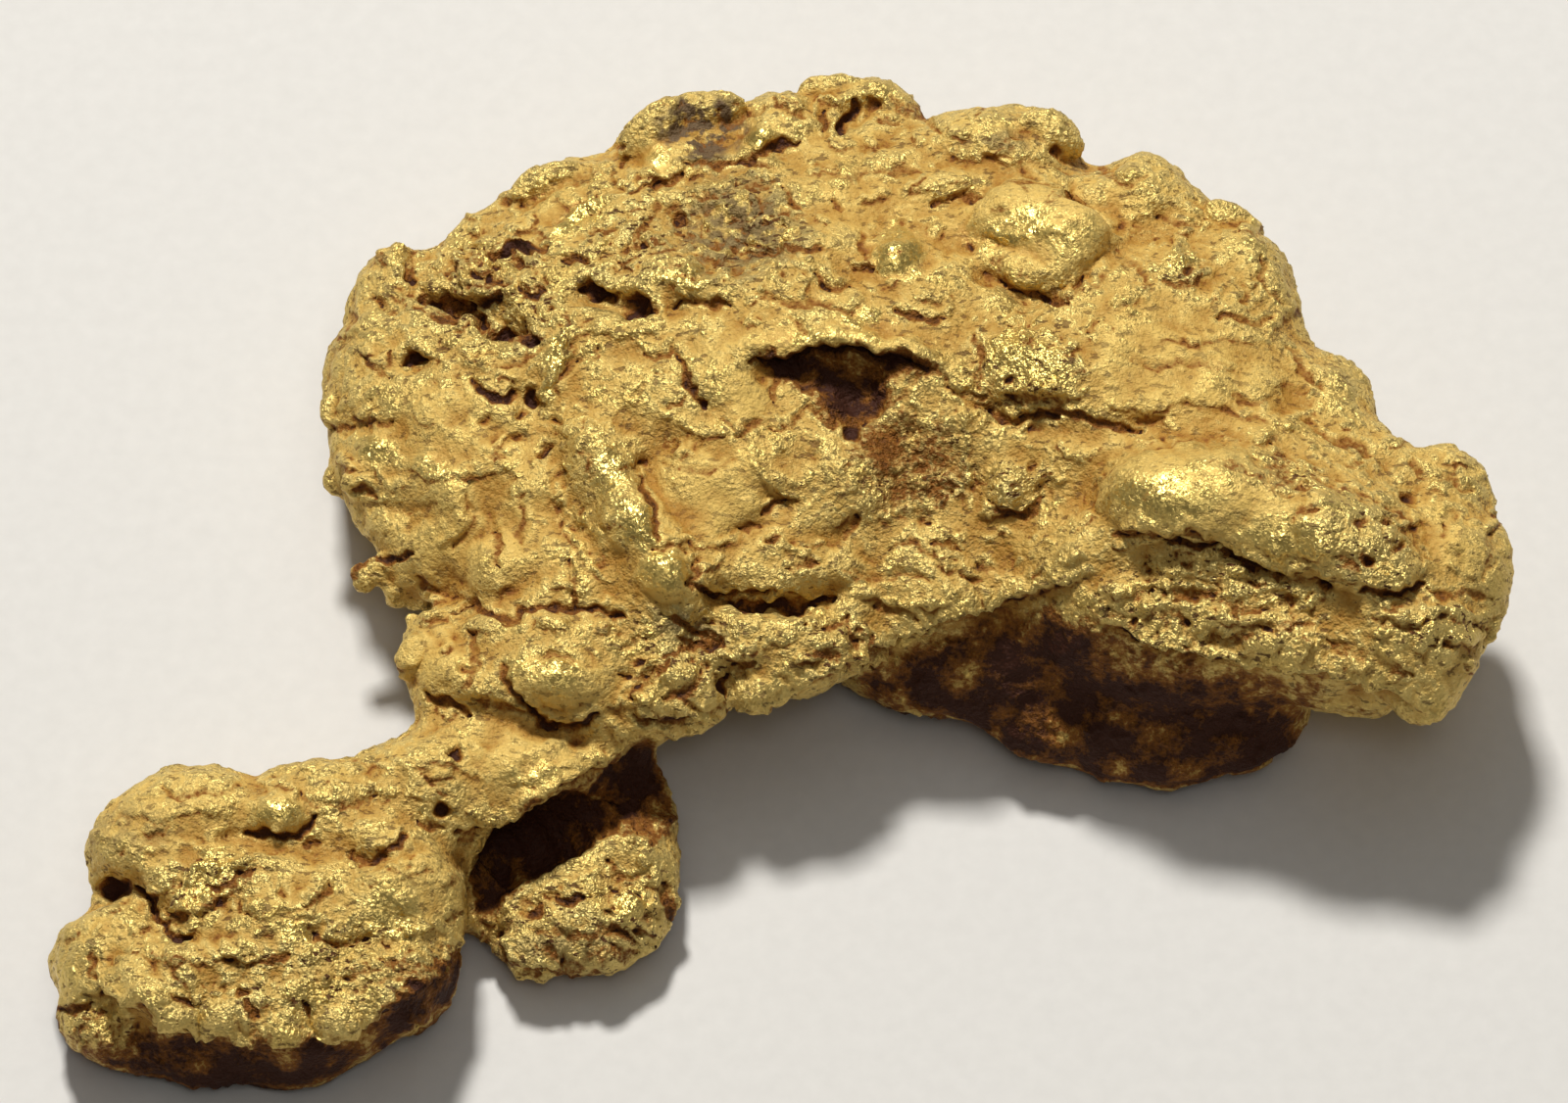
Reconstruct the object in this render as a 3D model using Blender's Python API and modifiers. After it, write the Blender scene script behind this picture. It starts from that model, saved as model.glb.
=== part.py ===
"""A gold nugget: one lump of native gold, about 90 mm long, as it lies on a table.

The form is grown from rounded lobes that are fused into one body, the way a nugget's
knobs have been hammered together in a stream. Ridges, bosses, ledges and pits are then
pushed in or out of its skin. Every lobe and form is placed by its spot in the reference
view and by real sizes in millimetres.
"""

import math

import bmesh
import bpy
import numpy as np
from mathutils import Matrix, Vector
from mathutils.bvhtree import BVHTree

# Driving sizes, in metres
MM = 0.001
NUGGET_LENGTH = 90 * MM
NUGGET_LENGTH_IN_VIEW = 1502
PIXEL = NUGGET_LENGTH / NUGGET_LENGTH_IN_VIEW

# The reference view: how it looks at the nugget, and the size of its frame
VIEW_ELEVATION = math.radians(60)
VIEW_DISTANCE = 660 * MM
VIEW_TARGET = Vector((0, -0.4 * MM, 9.0 * MM))
FRAME_WIDTH = 1600
FRAME_HEIGHT = 1126
AHEAD = Vector((0, math.cos(VIEW_ELEVATION), -math.sin(VIEW_ELEVATION)))
UP = Vector((0, math.sin(VIEW_ELEVATION), math.cos(VIEW_ELEVATION)))
RIGHT = Vector((1, 0, 0))
EYE = VIEW_TARGET - AHEAD * VIEW_DISTANCE

# How fine the fused body is, and how many faces the finished one has
FUSE_VOXEL = 0.75 * MM
FINISHED_TRIANGLES = 9400
STEP_ALONG_FORM = 8

# The random relief: size across and height of the knobs, and of the crumbly skin. The
# side turned away from the reference view has broad lumps too, in place of placed forms.
KNOB_SIZE = 4.2 * MM
KNOB_HEIGHT = 1.2 * MM
CRUMB_SIZE = 2.0 * MM
CRUMB_HEIGHT = 0.7 * MM
UNSEEN_LUMP_SIZE = 7.5 * MM
UNSEEN_LUMP_HEIGHT = 3.2 * MM
UNSEEN_KNOB_SIZE = 3.4 * MM
UNSEEN_KNOB_HEIGHT = 1.3 * MM
UNSEEN_STARTS = 0.15
UNSEEN_FULL = 0.6

GOLD_COLOUR = (0.80, 0.53, 0.17, 1.0)

# Lobes that fuse into the body. Each has its spot in the view (x, y in pixels), the
# height of its middle and its half sizes along X, Y and Z in mm, and its turn about Z
# and tilt about Y in degrees.
BODY_LOBES = {
    "core": (850, 395, 9.2, (25, 14.5, 8.2), -3, 0),
    "core_left": (570, 430, 8.2, (14.5, 13, 6.6), 0, -4),
    "core_upper": (880, 262, 9.6, (21, 8.5, 6.0), -3, 0),
    "core_upper_left": (620, 285, 8.6, (12, 8, 5.2), 14, -6),
    "core_right": (1150, 400, 11.6, (12.5, 11, 6.2), -28, 0),
    "plate_low": (720, 585, 9.2, (15, 8.0, 5.0), 8, 0),
    "base_wall": (1190, 606, 8.4, (11.5, 7.4, 7.6), -14, 0),
    "base_bulge": (1185, 712, 3.4, (9.4, 5.8, 3.9), -6, 0),
    "base_left": (1080, 706, 3.3, (6.4, 4.8, 3.5), -14, 0),
    "front_wall": (965, 652, 4.8, (9.4, 5.0, 4.9), -16, 0),
    "arm": (1300, 535, 12.6, (13, 7.0, 5.2), -28, 0),
    "arm_back": (1372, 508, 11.5, (7.4, 4.8, 4.6), -32, 0),
    "arm_front": (1330, 622, 11.6, (8.6, 5.4, 4.4), -20, 0),
    "boss_apron": (1240, 562, 12.6, (9.5, 5.4, 4.8), -22, 0),
    "arm_under": (1378, 670, 9.4, (5.4, 4.0, 3.8), -6, 0),
    "back_belly": (800, 350, 6.2, (19, 10.5, 6.5), 0, 0),
}
BACK_RIM_LOBES = {
    "left_shoulder": (412, 312, 7.2, (3.6, 4.0, 4.0), 0, 0),
    "upper_left_fold": (494, 272, 8.2, (3.2, 3.4, 3.4), 0, 0),
    "slab_shoulder": (586, 218, 9.2, (5.0, 3.2, 3.4), 28, 0),
    "crown_left": (706, 160, 10.0, (4.8, 3.8, 3.8), 8, 0),
    "crown_middle": (800, 152, 10.6, (3.2, 3.6, 4.0), 0, 0),
    "crown_knob": (884, 130, 10.8, (3.4, 3.4, 3.8), 0, 0),
    "crown_right": (1018, 172, 11.8, (5.6, 4.2, 4.2), -6, 0),
    "shoulder_knob": (1166, 222, 12.0, (4.2, 4.0, 4.0), -20, 0),
    "shoulder_nub": (1250, 250, 11.5, (2.6, 2.4, 2.8), 0, 0),
    "flank_upper": (1258, 318, 12.0, (4.4, 5.2, 4.4), 0, 0),
    "flank_lower": (1338, 430, 11.5, (4.0, 4.6, 4.2), 20, 0),
    "tip_back": (1462, 520, 11.8, (3.8, 3.8, 4.0), 0, 0),
    "tip_end": (1478, 585, 12.2, (4.2, 4.6, 4.4), 0, 0),
    "tip_low": (1440, 655, 12.4, (4.4, 4.0, 4.4), 0, 0),
    "tip_corner": (1452, 706, 11.8, (2.2, 2.0, 2.4), 0, 0),
}
LEFT_RIM_LOBES = {
    "left_bulge": (396, 392, 6.6, (4.2, 4.8, 4.6), 0, 0),
    "left_lower": (408, 492, 6.8, (3.3, 3.6, 4.0), 0, 0),
    "left_waist": (440, 566, 7.2, (3.0, 3.4, 3.6), 0, 0),
    "left_foot_knob": (444, 662, 8.0, (2.6, 2.5, 2.8), 0, 0),
}
LIP_LOBES = {
    "lip_left": (575, 668, 9.4, (6.4, 4.2, 3.8), -6, 0),
    "lip_middle": (684, 694, 9.0, (4.0, 3.4, 3.2), 20, 0),
    "lip_lower": (640, 722, 8.4, (4.2, 3.0, 2.8), 20, 0),
    "lip_right": (800, 652, 9.4, (5.6, 3.8, 3.6), 14, 0),
    "lip_nub": (872, 662, 8.6, (1.6, 1.8, 2.0), 0, 0),
    "lip_inner": (950, 575, 9.8, (6.6, 4.4, 3.6), 14, 0),
    "lip_far": (1060, 548, 10.4, (5.0, 4.0, 3.4), 6, 0),
}
TOE_LOBES = {
    "neck": (530, 788, 7.2, (5.6, 4.2, 3.2), 26, 0),
    "neck_low": (440, 812, 7.0, (5.6, 4.0, 3.6), 14, 0),
    "neck_root": (500, 714, 8.4, (5.0, 3.6, 3.2), 0, 0),
    "toe_saddle": (330, 832, 7.0, (5.0, 3.6, 3.8), 0, 0),
    "toe_core": (285, 925, 5.9, (11.0, 7.0, 4.5), 4, 0),
    "toe_right": (400, 925, 6.0, (4.6, 4.6, 4.8), 0, 0),
    "toe_back": (212, 852, 6.2, (6.4, 4.2, 4.6), 0, 0),
    "toe_corner": (150, 874, 5.8, (3.7, 3.6, 3.8), 0, 0),
    "toe_side": (102, 985, 4.2, (3.0, 4.0, 3.6), 0, 0),
    "toe_outer_foot": (112, 1035, 3.2, (3.0, 3.2, 3.2), -24, 0),
    "toe_front_left": (192, 1016, 4.6, (5.4, 3.6, 3.9), -10, 0),
    "toe_front": (290, 1034, 4.5, (7.0, 3.5, 3.9), 0, 0),
    "toe_front_right": (392, 998, 4.9, (5.2, 3.6, 3.9), 34, 0),
    "toe_foot": (200, 1060, 2.3, (6.0, 3.2, 2.7), -6, 0),
    "toe_foot_right": (310, 1062, 2.3, (5.0, 3.0, 2.6), 14, 0),
}
HEEL_LOBES = {
    "heel": (604, 912, 2.5, (5.4, 4.4, 2.8), 18, 0),
    "heel_top": (655, 884, 3.2, (2.2, 2.6, 2.6), 0, 0),
    "heel_end": (534, 948, 2.3, (2.8, 2.6, 2.4), 0, 0),
    "web": (600, 830, 3.8, (5.6, 4.8, 3.6), 10, 0),
    "web_low": (520, 890, 2.6, (4.6, 5.0, 2.8), 0, 0),
}

# Forms pushed out of the skin, or in where the rise is negative: the spots that the form
# runs through in the view, its half width and its rise in mm.
HOLLOWS = {
    "basin": ([(810, 396), (870, 412), (920, 440), (950, 480)], 4.6, -1.2),
    "basin_throat": ([(785, 378), (830, 384), (880, 388)], 1.3, -1.0),
    "basin_pit": ([(868, 438)], 1.3, -1.6),
    "grey_pocket": ([(690, 225), (760, 245)], 3.6, -1.1),
    "crown_cavity": ([(866, 118), (900, 104)], 1.3, -1.2),
    "fold_hollow": ([(440, 300), (480, 312), (520, 330)], 1.5, -1.3),
    "dark_pocket": ([(600, 296), (645, 310)], 1.4, -1.2),
    "left_pit": ([(422, 368)], 1.0, -1.3),
    "left_groove": ([(535, 400), (548, 455)], 1.2, -1.0),
    "under_upper_boss": ([(1005, 280), (1050, 302), (1110, 282), (1132, 250)], 1.3, -1.0),
    "right_step": ([(985, 408), (1040, 430), (1110, 444), (1180, 434)], 1.1, -0.6),
    "cave": ([(735, 606), (790, 614), (850, 606)], 1.5, -2.2),
    "cave_left": ([(704, 656), (730, 636)], 1.0, -0.8),
    "lip_cleft": ([(738, 712), (752, 686)], 1.0, -1.1),
    "drape_groove": ([(566, 440), (580, 520), (620, 600)], 1.2, -0.5),
    "lip_seam": ([(440, 630), (520, 620), (600, 622)], 1.1, -0.4),
    "neck_seam": ([(440, 722), (510, 732), (590, 756)], 1.2, -0.8),
    "toe_notch": ([(92, 908), (128, 904), (158, 935)], 1.6, -1.6),
    "toe_ledge": ([(232, 852), (290, 864), (350, 868), (392, 882), (430, 866)], 1.1, -0.8),
    "web_gap": ([(492, 905), (500, 960)], 1.6, -1.4),
    "neck_shade": ([(520, 884), (575, 858), (635, 836)], 1.8, -0.8),
    "crown_crease": ([(668, 192), (710, 177), (745, 168), (801, 148)], 0.9, -0.6),
    "rim_pit": ([(1079, 154)], 1.0, -0.6),
    "upper_crack": ([(949, 207), (1008, 202)], 0.9, -0.5),
    "fold_crevice": ([(676, 310), (743, 314)], 0.9, -0.5),
    "rim_groove": ([(430, 258), (420, 292)], 0.9, -0.6),
    "left_crevice": ([(350, 434), (378, 430), (402, 432)], 0.9, -0.6),
    "flake_slot": ([(706, 398), (722, 418)], 0.8, -0.6),
    "fold_slots": ([(497, 432), (525, 446), (566, 430)], 0.9, -0.5),
    "plate_edge": ([(654, 475), (668, 520), (672, 553)], 0.9, -0.5),
    "plate_crevice": ([(806, 510), (780, 528), (750, 543)], 0.9, -0.6),
    "squiggle": ([(760, 484), (775, 502), (798, 510)], 0.8, -0.5),
    "floor_crevice": ([(869, 530), (859, 549)], 0.9, -0.5),
    "boss_crevices": ([(1190, 551), (1238, 556), (1284, 585), (1350, 596)], 0.9, -0.5),
    "boss_crack": ([(1306, 452), (1304, 474)], 0.8, -0.4),
    "ring_pit": ([(1437, 511)], 0.9, -0.7),
    "tip_undercut": ([(1412, 606), (1450, 604)], 1.0, -0.7),
    "lip_groove": ([(556, 670), (582, 677)], 0.9, -0.4),
    "lip_crevices": ([(840, 640), (868, 632)], 0.9, -0.5),
    "neck_hole": ([(463, 772)], 0.9, -0.7),
    "toe_hole": ([(454, 829)], 0.9, -0.7),
    "toe_crevice": ([(148, 922), (165, 941), (192, 960)], 0.9, -0.7),
    "toe_crack": ([(317, 951), (339, 962), (371, 956)], 0.9, -0.5),
    "toe_edge_cleft": ([(192, 1024), (204, 1040)], 1.0, -0.8),
    "toe_edge_cleft_right": ([(313, 1036), (322, 1052)], 1.0, -0.6),
}
RISES = {
    "brow": ([(765, 356), (830, 346), (900, 352), (940, 366)], 1.8, 0.6),
    "upper_boss": ([(1020, 222), (1062, 240), (1100, 250)], 3.2, 1.8),
    "upper_fold": ([(955, 196), (1040, 178), (1120, 196)], 1.8, 0.8),
    "glitter_knob": ([(1025, 368), (1085, 380)], 2.8, 0.6),
    "right_boss": ([(1165, 515), (1240, 505), (1330, 545), (1410, 592)], 4.0, 1.4),
    "left_ridge": ([(604, 450), (632, 505), (664, 560), (690, 596)], 2.5, 1.6),
    "middle_plate": ([(700, 492), (770, 505)], 2.8, 0.7),
    "lip_boss": ([(540, 688), (600, 700)], 2.6, 0.8),
    "lip_knobs": ([(660, 716), (700, 694)], 1.8, 0.7),
    "slope_knobs": ([(1180, 612), (1250, 630), (1330, 655)], 1.8, 0.5),
    "basin_knob": ([(1030, 500)], 2.4, 0.9),
    "toe_nub": ([(283, 828)], 2.0, 1.2),
    "toe_nub_right": ([(385, 852)], 2.4, 0.8),
    "crown_boss": ([(690, 160), (672, 148)], 1.8, 0.6),
    "crown_middle_boss": ([(776, 137)], 1.4, 0.7),
    "curl_fold": ([(822, 126), (848, 122), (858, 104)], 1.0, 0.5),
    "olive_boss": ([(916, 264)], 1.8, 0.6),
    "rough_spot": ([(1202, 274)], 2.0, 0.6),
    "bright_fold": ([(667, 280), (707, 292), (742, 286)], 1.2, 0.6),
    "nested_folds": ([(489, 268), (500, 290), (517, 308)], 1.2, 0.6),
    "rim_ridge": ([(408, 276), (398, 300)], 1.2, 0.4),
    "left_fold_ridge": ([(577, 343), (566, 368), (560, 393)], 1.2, 0.7),
    "side_knob": ([(390, 537)], 1.9, 0.5),
    "drape_upper": ([(471, 528), (466, 500)], 1.8, 0.5),
    "drape_lower": ([(502, 567), (500, 590)], 1.8, 0.5),
    "panel": ([(556, 561), (548, 540)], 1.6, 0.4),
    "ridge_end_boss": ([(676, 577)], 1.4, 0.5),
    "cave_knob": ([(789, 553)], 1.3, 0.6),
    "squiggle_ridge": ([(765, 467), (776, 486), (800, 496)], 1.0, 0.5),
    "lip_lump_low": ([(671, 746)], 1.3, 0.6),
    "lip_lump_far": ([(722, 703), (760, 703)], 1.3, 0.5),
    "wall_knob": ([(1139, 602)], 1.3, 0.5),
    "toe_edge_left": ([(157, 1026), (186, 1030)], 1.4, 0.5),
    "toe_edge_middle": ([(232, 1042), (285, 1048)], 1.6, 0.5),
    "toe_edge_right": ([(346, 1040), (380, 1024)], 1.6, 0.5),
    "left_spur_upper": ([(364, 492)], 1.2, 1.0),
    "left_spur_lower": ([(408, 604)], 1.3, 1.4),
}


def view_ray(x, y):
    """The direction from the eye of the reference view through one spot of its frame."""
    across = (x - FRAME_WIDTH / 2) * PIXEL / VIEW_DISTANCE
    rise = (FRAME_HEIGHT / 2 - y) * PIXEL / VIEW_DISTANCE
    return (AHEAD + RIGHT * across + UP * rise).normalized()


def spot(x, y, height):
    """The point that shows at x, y of the reference view and lies at this height."""
    direction = view_ray(x, y)
    return EYE + direction * ((height - EYE.z) / direction.z)


def add_lobe(bm, x, y, height, half_sizes, turn, tilt):
    place = Matrix.Translation(spot(x, y, height * MM))
    turned = Matrix.Rotation(math.radians(turn), 4, "Z")
    tilted = Matrix.Rotation(math.radians(tilt), 4, "Y")
    size = Matrix.Diagonal((*[s * MM for s in half_sizes], 1))
    bmesh.ops.create_icosphere(bm, subdivisions=4, radius=1, matrix=place @ turned @ tilted @ size)


def fused_body(collection):
    """All lobes fused into one closed skin, with the creases between them softened."""
    bm = bmesh.new()
    for group in (BODY_LOBES, BACK_RIM_LOBES, LEFT_RIM_LOBES, LIP_LOBES, TOE_LOBES, HEEL_LOBES):
        for lobe in group.values():
            add_lobe(bm, *lobe)
    mesh = bpy.data.meshes.new("lobes")
    bm.to_mesh(mesh)
    bm.free()
    lobes = bpy.data.objects.new("lobes", mesh)
    collection.objects.link(lobes)
    fuse = lobes.modifiers.new("fuse", "REMESH")
    fuse.mode = "VOXEL"
    fuse.voxel_size = FUSE_VOXEL
    soften = lobes.modifiers.new("soften creases", "SMOOTH")
    soften.factor = 0.5
    soften.iterations = 8
    evaluated = lobes.evaluated_get(bpy.context.evaluated_depsgraph_get())
    nugget = bpy.data.objects.new("nugget", bpy.data.meshes.new_from_object(evaluated))
    bpy.data.objects.remove(lobes)
    collection.objects.link(nugget)
    return nugget


def along(points):
    """Spots a few pixels apart along the line through these points."""
    if len(points) == 1:
        return points
    spots = []
    for (x0, y0), (x1, y1) in zip(points, points[1:]):
        steps = max(1, round(math.hypot(x1 - x0, y1 - y0) / STEP_ALONG_FORM))
        spots += [(x0 + (x1 - x0) * i / steps, y0 + (y1 - y0) * i / steps) for i in range(steps)]
    return spots + [points[-1]]


def push_form(points, normals, skin, line, half_width, rise):
    """Moves the skin's points near a form in or out along the skin's normals."""
    hits = [skin.ray_cast(EYE, view_ray(x, y)) for x, y in along(line)]
    places = np.array([hit[0] for hit in hits if hit[0] is not None])
    facing = np.array([hit[1] for hit in hits if hit[0] is not None])
    apart = np.linalg.norm(points[:, None, :] - places[None, :, :], axis=2)
    nearest = apart.argmin(axis=1)
    distance = apart.min(axis=1) / (half_width * MM)
    same_side = (normals * facing[nearest]).sum(axis=1) > 0
    share = np.where(same_side, np.clip(1 - distance**2, 0, 1) ** 2, 0)
    points += normals * (share * rise * MM)[:, None]


def skin_arrays(mesh):
    points = np.empty(len(mesh.vertices) * 3, np.float32)
    mesh.vertices.foreach_get("co", points)
    normals = np.empty(len(mesh.vertices) * 3, np.float32)
    mesh.vertex_normals.foreach_get("vector", normals)
    return points.reshape(-1, 3).astype(float), normals.reshape(-1, 3).astype(float)


def carve(nugget):
    """Pushes the rises and hollows into the fused body, one group after the other."""
    for forms in (RISES, HOLLOWS):
        points, normals = skin_arrays(nugget.data)
        skin = BVHTree.FromObject(nugget, bpy.context.evaluated_depsgraph_get())
        for line, half_width, rise in forms.values():
            push_form(points, normals, skin, line, half_width, rise)
        nugget.data.vertices.foreach_set("co", points.astype(np.float32).ravel())
        nugget.data.update()
        bpy.context.view_layer.update()


def mark_unseen(nugget):
    """A vertex group that grows from 0 to 1 as the skin turns away from the view."""
    normals = skin_arrays(nugget.data)[1]
    turned_away = normals @ np.array(AHEAD)
    weights = np.clip((turned_away - UNSEEN_STARTS) / (UNSEEN_FULL - UNSEEN_STARTS), 0, 1)
    unseen = nugget.vertex_groups.new(name="unseen")
    for vertex in np.flatnonzero(weights).tolist():
        unseen.add([vertex], weights[vertex], "REPLACE")
    return unseen.name


def add_relief(nugget, name, size, height, group=""):
    """Random knobs on the skin, as a procedural displacement."""
    texture = bpy.data.textures.new(name, "CLOUDS")
    texture.noise_scale = size
    relief = nugget.modifiers.new(name, "DISPLACE")
    relief.texture = texture
    relief.texture_coords = "LOCAL"
    relief.strength = height
    relief.mid_level = 0.5
    relief.vertex_group = group


def triangle_count(obj):
    evaluated = obj.evaluated_get(bpy.context.evaluated_depsgraph_get())
    mesh = evaluated.to_mesh()
    mesh.calc_loop_triangles()
    count = len(mesh.loop_triangles)
    evaluated.to_mesh_clear()
    return count


def table_cutter(collection):
    """A slab under the table's top, which leaves small flats where the nugget rests."""
    depth = 10 * MM
    bpy.ops.mesh.primitive_cube_add(size=1, location=(0, 0, -depth / 2))
    cutter = bpy.context.object
    cutter.name = "table_cutter"
    cutter.scale = (2 * NUGGET_LENGTH, 2 * NUGGET_LENGTH, depth)
    cutter.hide_render = True
    cutter.display_type = "WIRE"
    for owner in list(cutter.users_collection):
        owner.objects.unlink(cutter)
    collection.objects.link(cutter)
    return cutter


def gold():
    material = bpy.data.materials.new("native gold")
    material.use_nodes = True
    shader = material.node_tree.nodes["Principled BSDF"]
    shader.inputs["Base Color"].default_value = GOLD_COLOUR
    shader.inputs["Metallic"].default_value = 1.0
    shader.inputs["Roughness"].default_value = 0.45
    return material


def main():
    for obj in list(bpy.data.objects):
        bpy.data.objects.remove(obj)
    collection = bpy.data.collections.new("gold nugget")
    cutters = bpy.data.collections.new("cutters")
    bpy.context.scene.collection.children.link(collection)
    bpy.context.scene.collection.children.link(cutters)

    nugget = fused_body(collection)
    carve(nugget)
    nugget.data.materials.append(gold())
    unseen = mark_unseen(nugget)
    add_relief(nugget, "unseen lumps", UNSEEN_LUMP_SIZE, UNSEEN_LUMP_HEIGHT, unseen)
    add_relief(nugget, "unseen knobs", UNSEEN_KNOB_SIZE, UNSEEN_KNOB_HEIGHT, unseen)
    add_relief(nugget, "knobs", KNOB_SIZE, KNOB_HEIGHT)
    add_relief(nugget, "crumbs", CRUMB_SIZE, CRUMB_HEIGHT)
    thin_out = nugget.modifiers.new("thin out", "DECIMATE")
    thin_out.ratio = FINISHED_TRIANGLES / triangle_count(nugget)
    rest = nugget.modifiers.new("rest on the table", "BOOLEAN")
    rest.operation = "DIFFERENCE"
    rest.object = table_cutter(cutters)


main()
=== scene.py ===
"""The looks of the gold nugget: one finely modelled skin of water-worn native gold.

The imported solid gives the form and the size. Its skin is meshed finely, and the crevices,
ridges, folds and pits that the real nugget shows are pressed into it, each placed by its
spots in the reference view. A procedural relief adds crumbs, flakes and small pits.
"""

import math

import bmesh
import bpy
import numpy as np
from mathutils import Matrix, Vector
from mathutils.bvhtree import BVHTree


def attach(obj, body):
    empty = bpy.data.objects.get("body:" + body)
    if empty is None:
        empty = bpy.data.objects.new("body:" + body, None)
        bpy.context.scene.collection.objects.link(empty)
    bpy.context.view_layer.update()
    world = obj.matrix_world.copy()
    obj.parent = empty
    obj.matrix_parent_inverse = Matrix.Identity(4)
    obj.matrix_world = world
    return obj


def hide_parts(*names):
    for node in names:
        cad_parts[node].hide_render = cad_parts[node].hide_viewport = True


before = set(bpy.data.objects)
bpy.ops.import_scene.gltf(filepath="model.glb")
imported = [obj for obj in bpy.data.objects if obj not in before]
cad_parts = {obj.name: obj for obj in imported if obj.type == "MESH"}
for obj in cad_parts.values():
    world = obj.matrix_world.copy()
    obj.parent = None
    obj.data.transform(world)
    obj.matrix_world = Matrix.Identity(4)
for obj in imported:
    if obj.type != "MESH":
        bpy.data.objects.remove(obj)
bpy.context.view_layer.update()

# The reference view: its frame in pixels, the size of a pixel, and where it looks from
MM = 0.001
FRAME_WIDTH = 1600
FRAME_HEIGHT = 1126
PIXEL = 90 * MM / 1502
VIEW_ELEVATION = math.radians(60)
VIEW_DISTANCE = 660 * MM
VIEW_TARGET = Vector((0, -0.4 * MM, 9.0 * MM))
AHEAD = Vector((0, math.cos(VIEW_ELEVATION), -math.sin(VIEW_ELEVATION)))
UP = Vector((0, math.sin(VIEW_ELEVATION), math.cos(VIEW_ELEVATION)))
RIGHT = Vector((1, 0, 0))
EYE = VIEW_TARGET - AHEAD * VIEW_DISTANCE
SENSOR_WIDTH = 36

# The fine mesh: its voxel, how often it is smoothed before and after the nodules join it,
# and how many triangles are kept where the reference view doesn't look and in all
SKIN_VOXEL = 0.18 * MM
DOUBLES_APART = 0.001 * MM
SMOOTHING_FACTOR = 0.5
FACET_SMOOTHING = 30
NODULE_SMOOTHING = 3
UNSEEN_TRIANGLES = 45000
FINISHED_TRIANGLES = 197000

# How far in a nodule's spot may move to meet the skin, in how many steps, the nodule's
# depth as a share of its smaller half size, and how finely it is meshed
NODULE_INWARD = 0.5
NODULE_STEPS = 100
NODULE_DEPTH = 0.7
NODULE_SUBDIVISIONS = 3

# Seen skin: the cosine to the view from which it counts in full, how often the share is
# evened out between neighbours, and from which share it counts as seen or as unseen
SEEN_FULLY = 0.3
SEEN_SOFTENING = 4
SEEN_FLAKES = 0.5
SEEN_CRUMBS = 0.95
WHOLLY_UNSEEN = 0.99

# Drawn lines: the spacing of the points on a curve and how far a line wavers, in pixels,
# and the waves it wavers in. The first of each pair is bent: its length, and its bend's
# length and size. The second slants: its lengths both ways.
CURVE_STEP = 5
WAVER = 2.0
WAVES_ACROSS = ((6.1, 13.0, 1.7), (2.7, 5.3))
WAVES_DOWN = ((7.3, 11.0, 1.5), (3.1, -4.7))
SLANTING_SHARE = 0.7

# How wide a line is at its ends and how soon it is at its full width, how steep a ridge and
# a crevice are, and the lip beside a crevice: its width in mm and its share of the depth
END_WIDTH = 0.35
END_WIDENING = 2.5
RIDGE_POWER = 2
CREVICE_POWER = 1.2
LIP_WIDTH = 0.9
LIP_SHARE = 0.5

# Ledges: the width of the drop, the shape of the ramp, how soon the ledge fades in, its
# rise as a share of what is drawn, and the painted shadow line at its foot
LEDGE_DROP = 0.22 * MM
RAMP_POWER = 1.6
LEDGE_FADE = 3
LEDGE_DEEPENING = 1.25
FOOT_SHADOW_PAINT = 0.5

# Lumps and pits: how round they are. Skin this many mm deep is all clay and painted shade.
LUMP_POWER = 0.9
PIT_POWER = 1.1
DIRTY_DEPTH = 0.5

# Unevenness along a drawn line as a share of its rise, the rise in mm past which it grows
# no more, and its waves in pixels and how far they bend
UNEVEN_SHARE = 0.35
UNEVEN_RISE = 0.3
UNEVEN_ACROSS = (3.3, 5.1, 2)
UNEVEN_DOWN = (4.1, 6.7, 1.5)

# Patches: how far that unevenness moves their edge, where they end and over what stretch
# they fade, as shares of their half size
PATCH_WAVER = 0.6
PATCH_END = 1.4
PATCH_FADE = 0.8

# Named sizes of the random relief. A height below 0 sinks. The pits' size is their spacing.
RELIEF = {
    "Wander Size": 4.0 * MM,
    "Wander": 1.4 * MM,
    "Knob Size": 2.4 * MM,
    "Knob Height": -0.26 * MM,
    "Grit Size": 1.0 * MM,
    "Grit Height": -0.12 * MM,
    "Crumb Size": 0.8 * MM,
    "Crumb Height": 0.18 * MM,
    "Plate Size": 1.4 * MM,
    "Plate Height": 0.18 * MM,
    "Ragged Size": 0.6 * MM,
    "Ragged": 0.7 * MM,
    "Flake Size": 3.6 * MM,
    "Flake Height": 0.16 * MM,
    "Pit Size": 1.7 * MM,
    "Pit Height": -0.14 * MM,
    "Crease Size": 3.4 * MM,
    "Crease Height": -0.1 * MM,
    "Fold Size": 6.0 * MM,
    "Fold Height": 1.4 * MM,
}
RELIEF_SEED = 7
PLATE_SEED = 12.0
CREASE_SEED = 30.0
LAPPED_SEED = 45.0
BROKEN_SEED = 60.0
FOLD_SEED = 90.0

# The relief's shares: the middle of a noise's values, how many leaves lap over its whole
# range, how much of a leaf ramps up, the random value from which a cell has a pit, and how
# much more relief and roughness the unseen sides have
NOISE_MIDDLE = 0.5
LAPPED_LEAVES = 9.0
LEAF_RAMP = 0.8
PITTED_FROM = 0.93
UNSEEN_RELIEF = 0.8
UNSEEN_ROUGHNESS = 0.1

# How rough the skin is where no patch says so, and what rough and smooth patches add
PLAIN_ROUGHNESS = 0.5
ROUGH_PATCH = 0.6
SMOOTH_PATCH = -0.38

# Unseen skin is darker toward the bottom: up to what height, and how much
DARKENING_REACH = 5.0 * MM
LOW_DARKENING = 0.95

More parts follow.
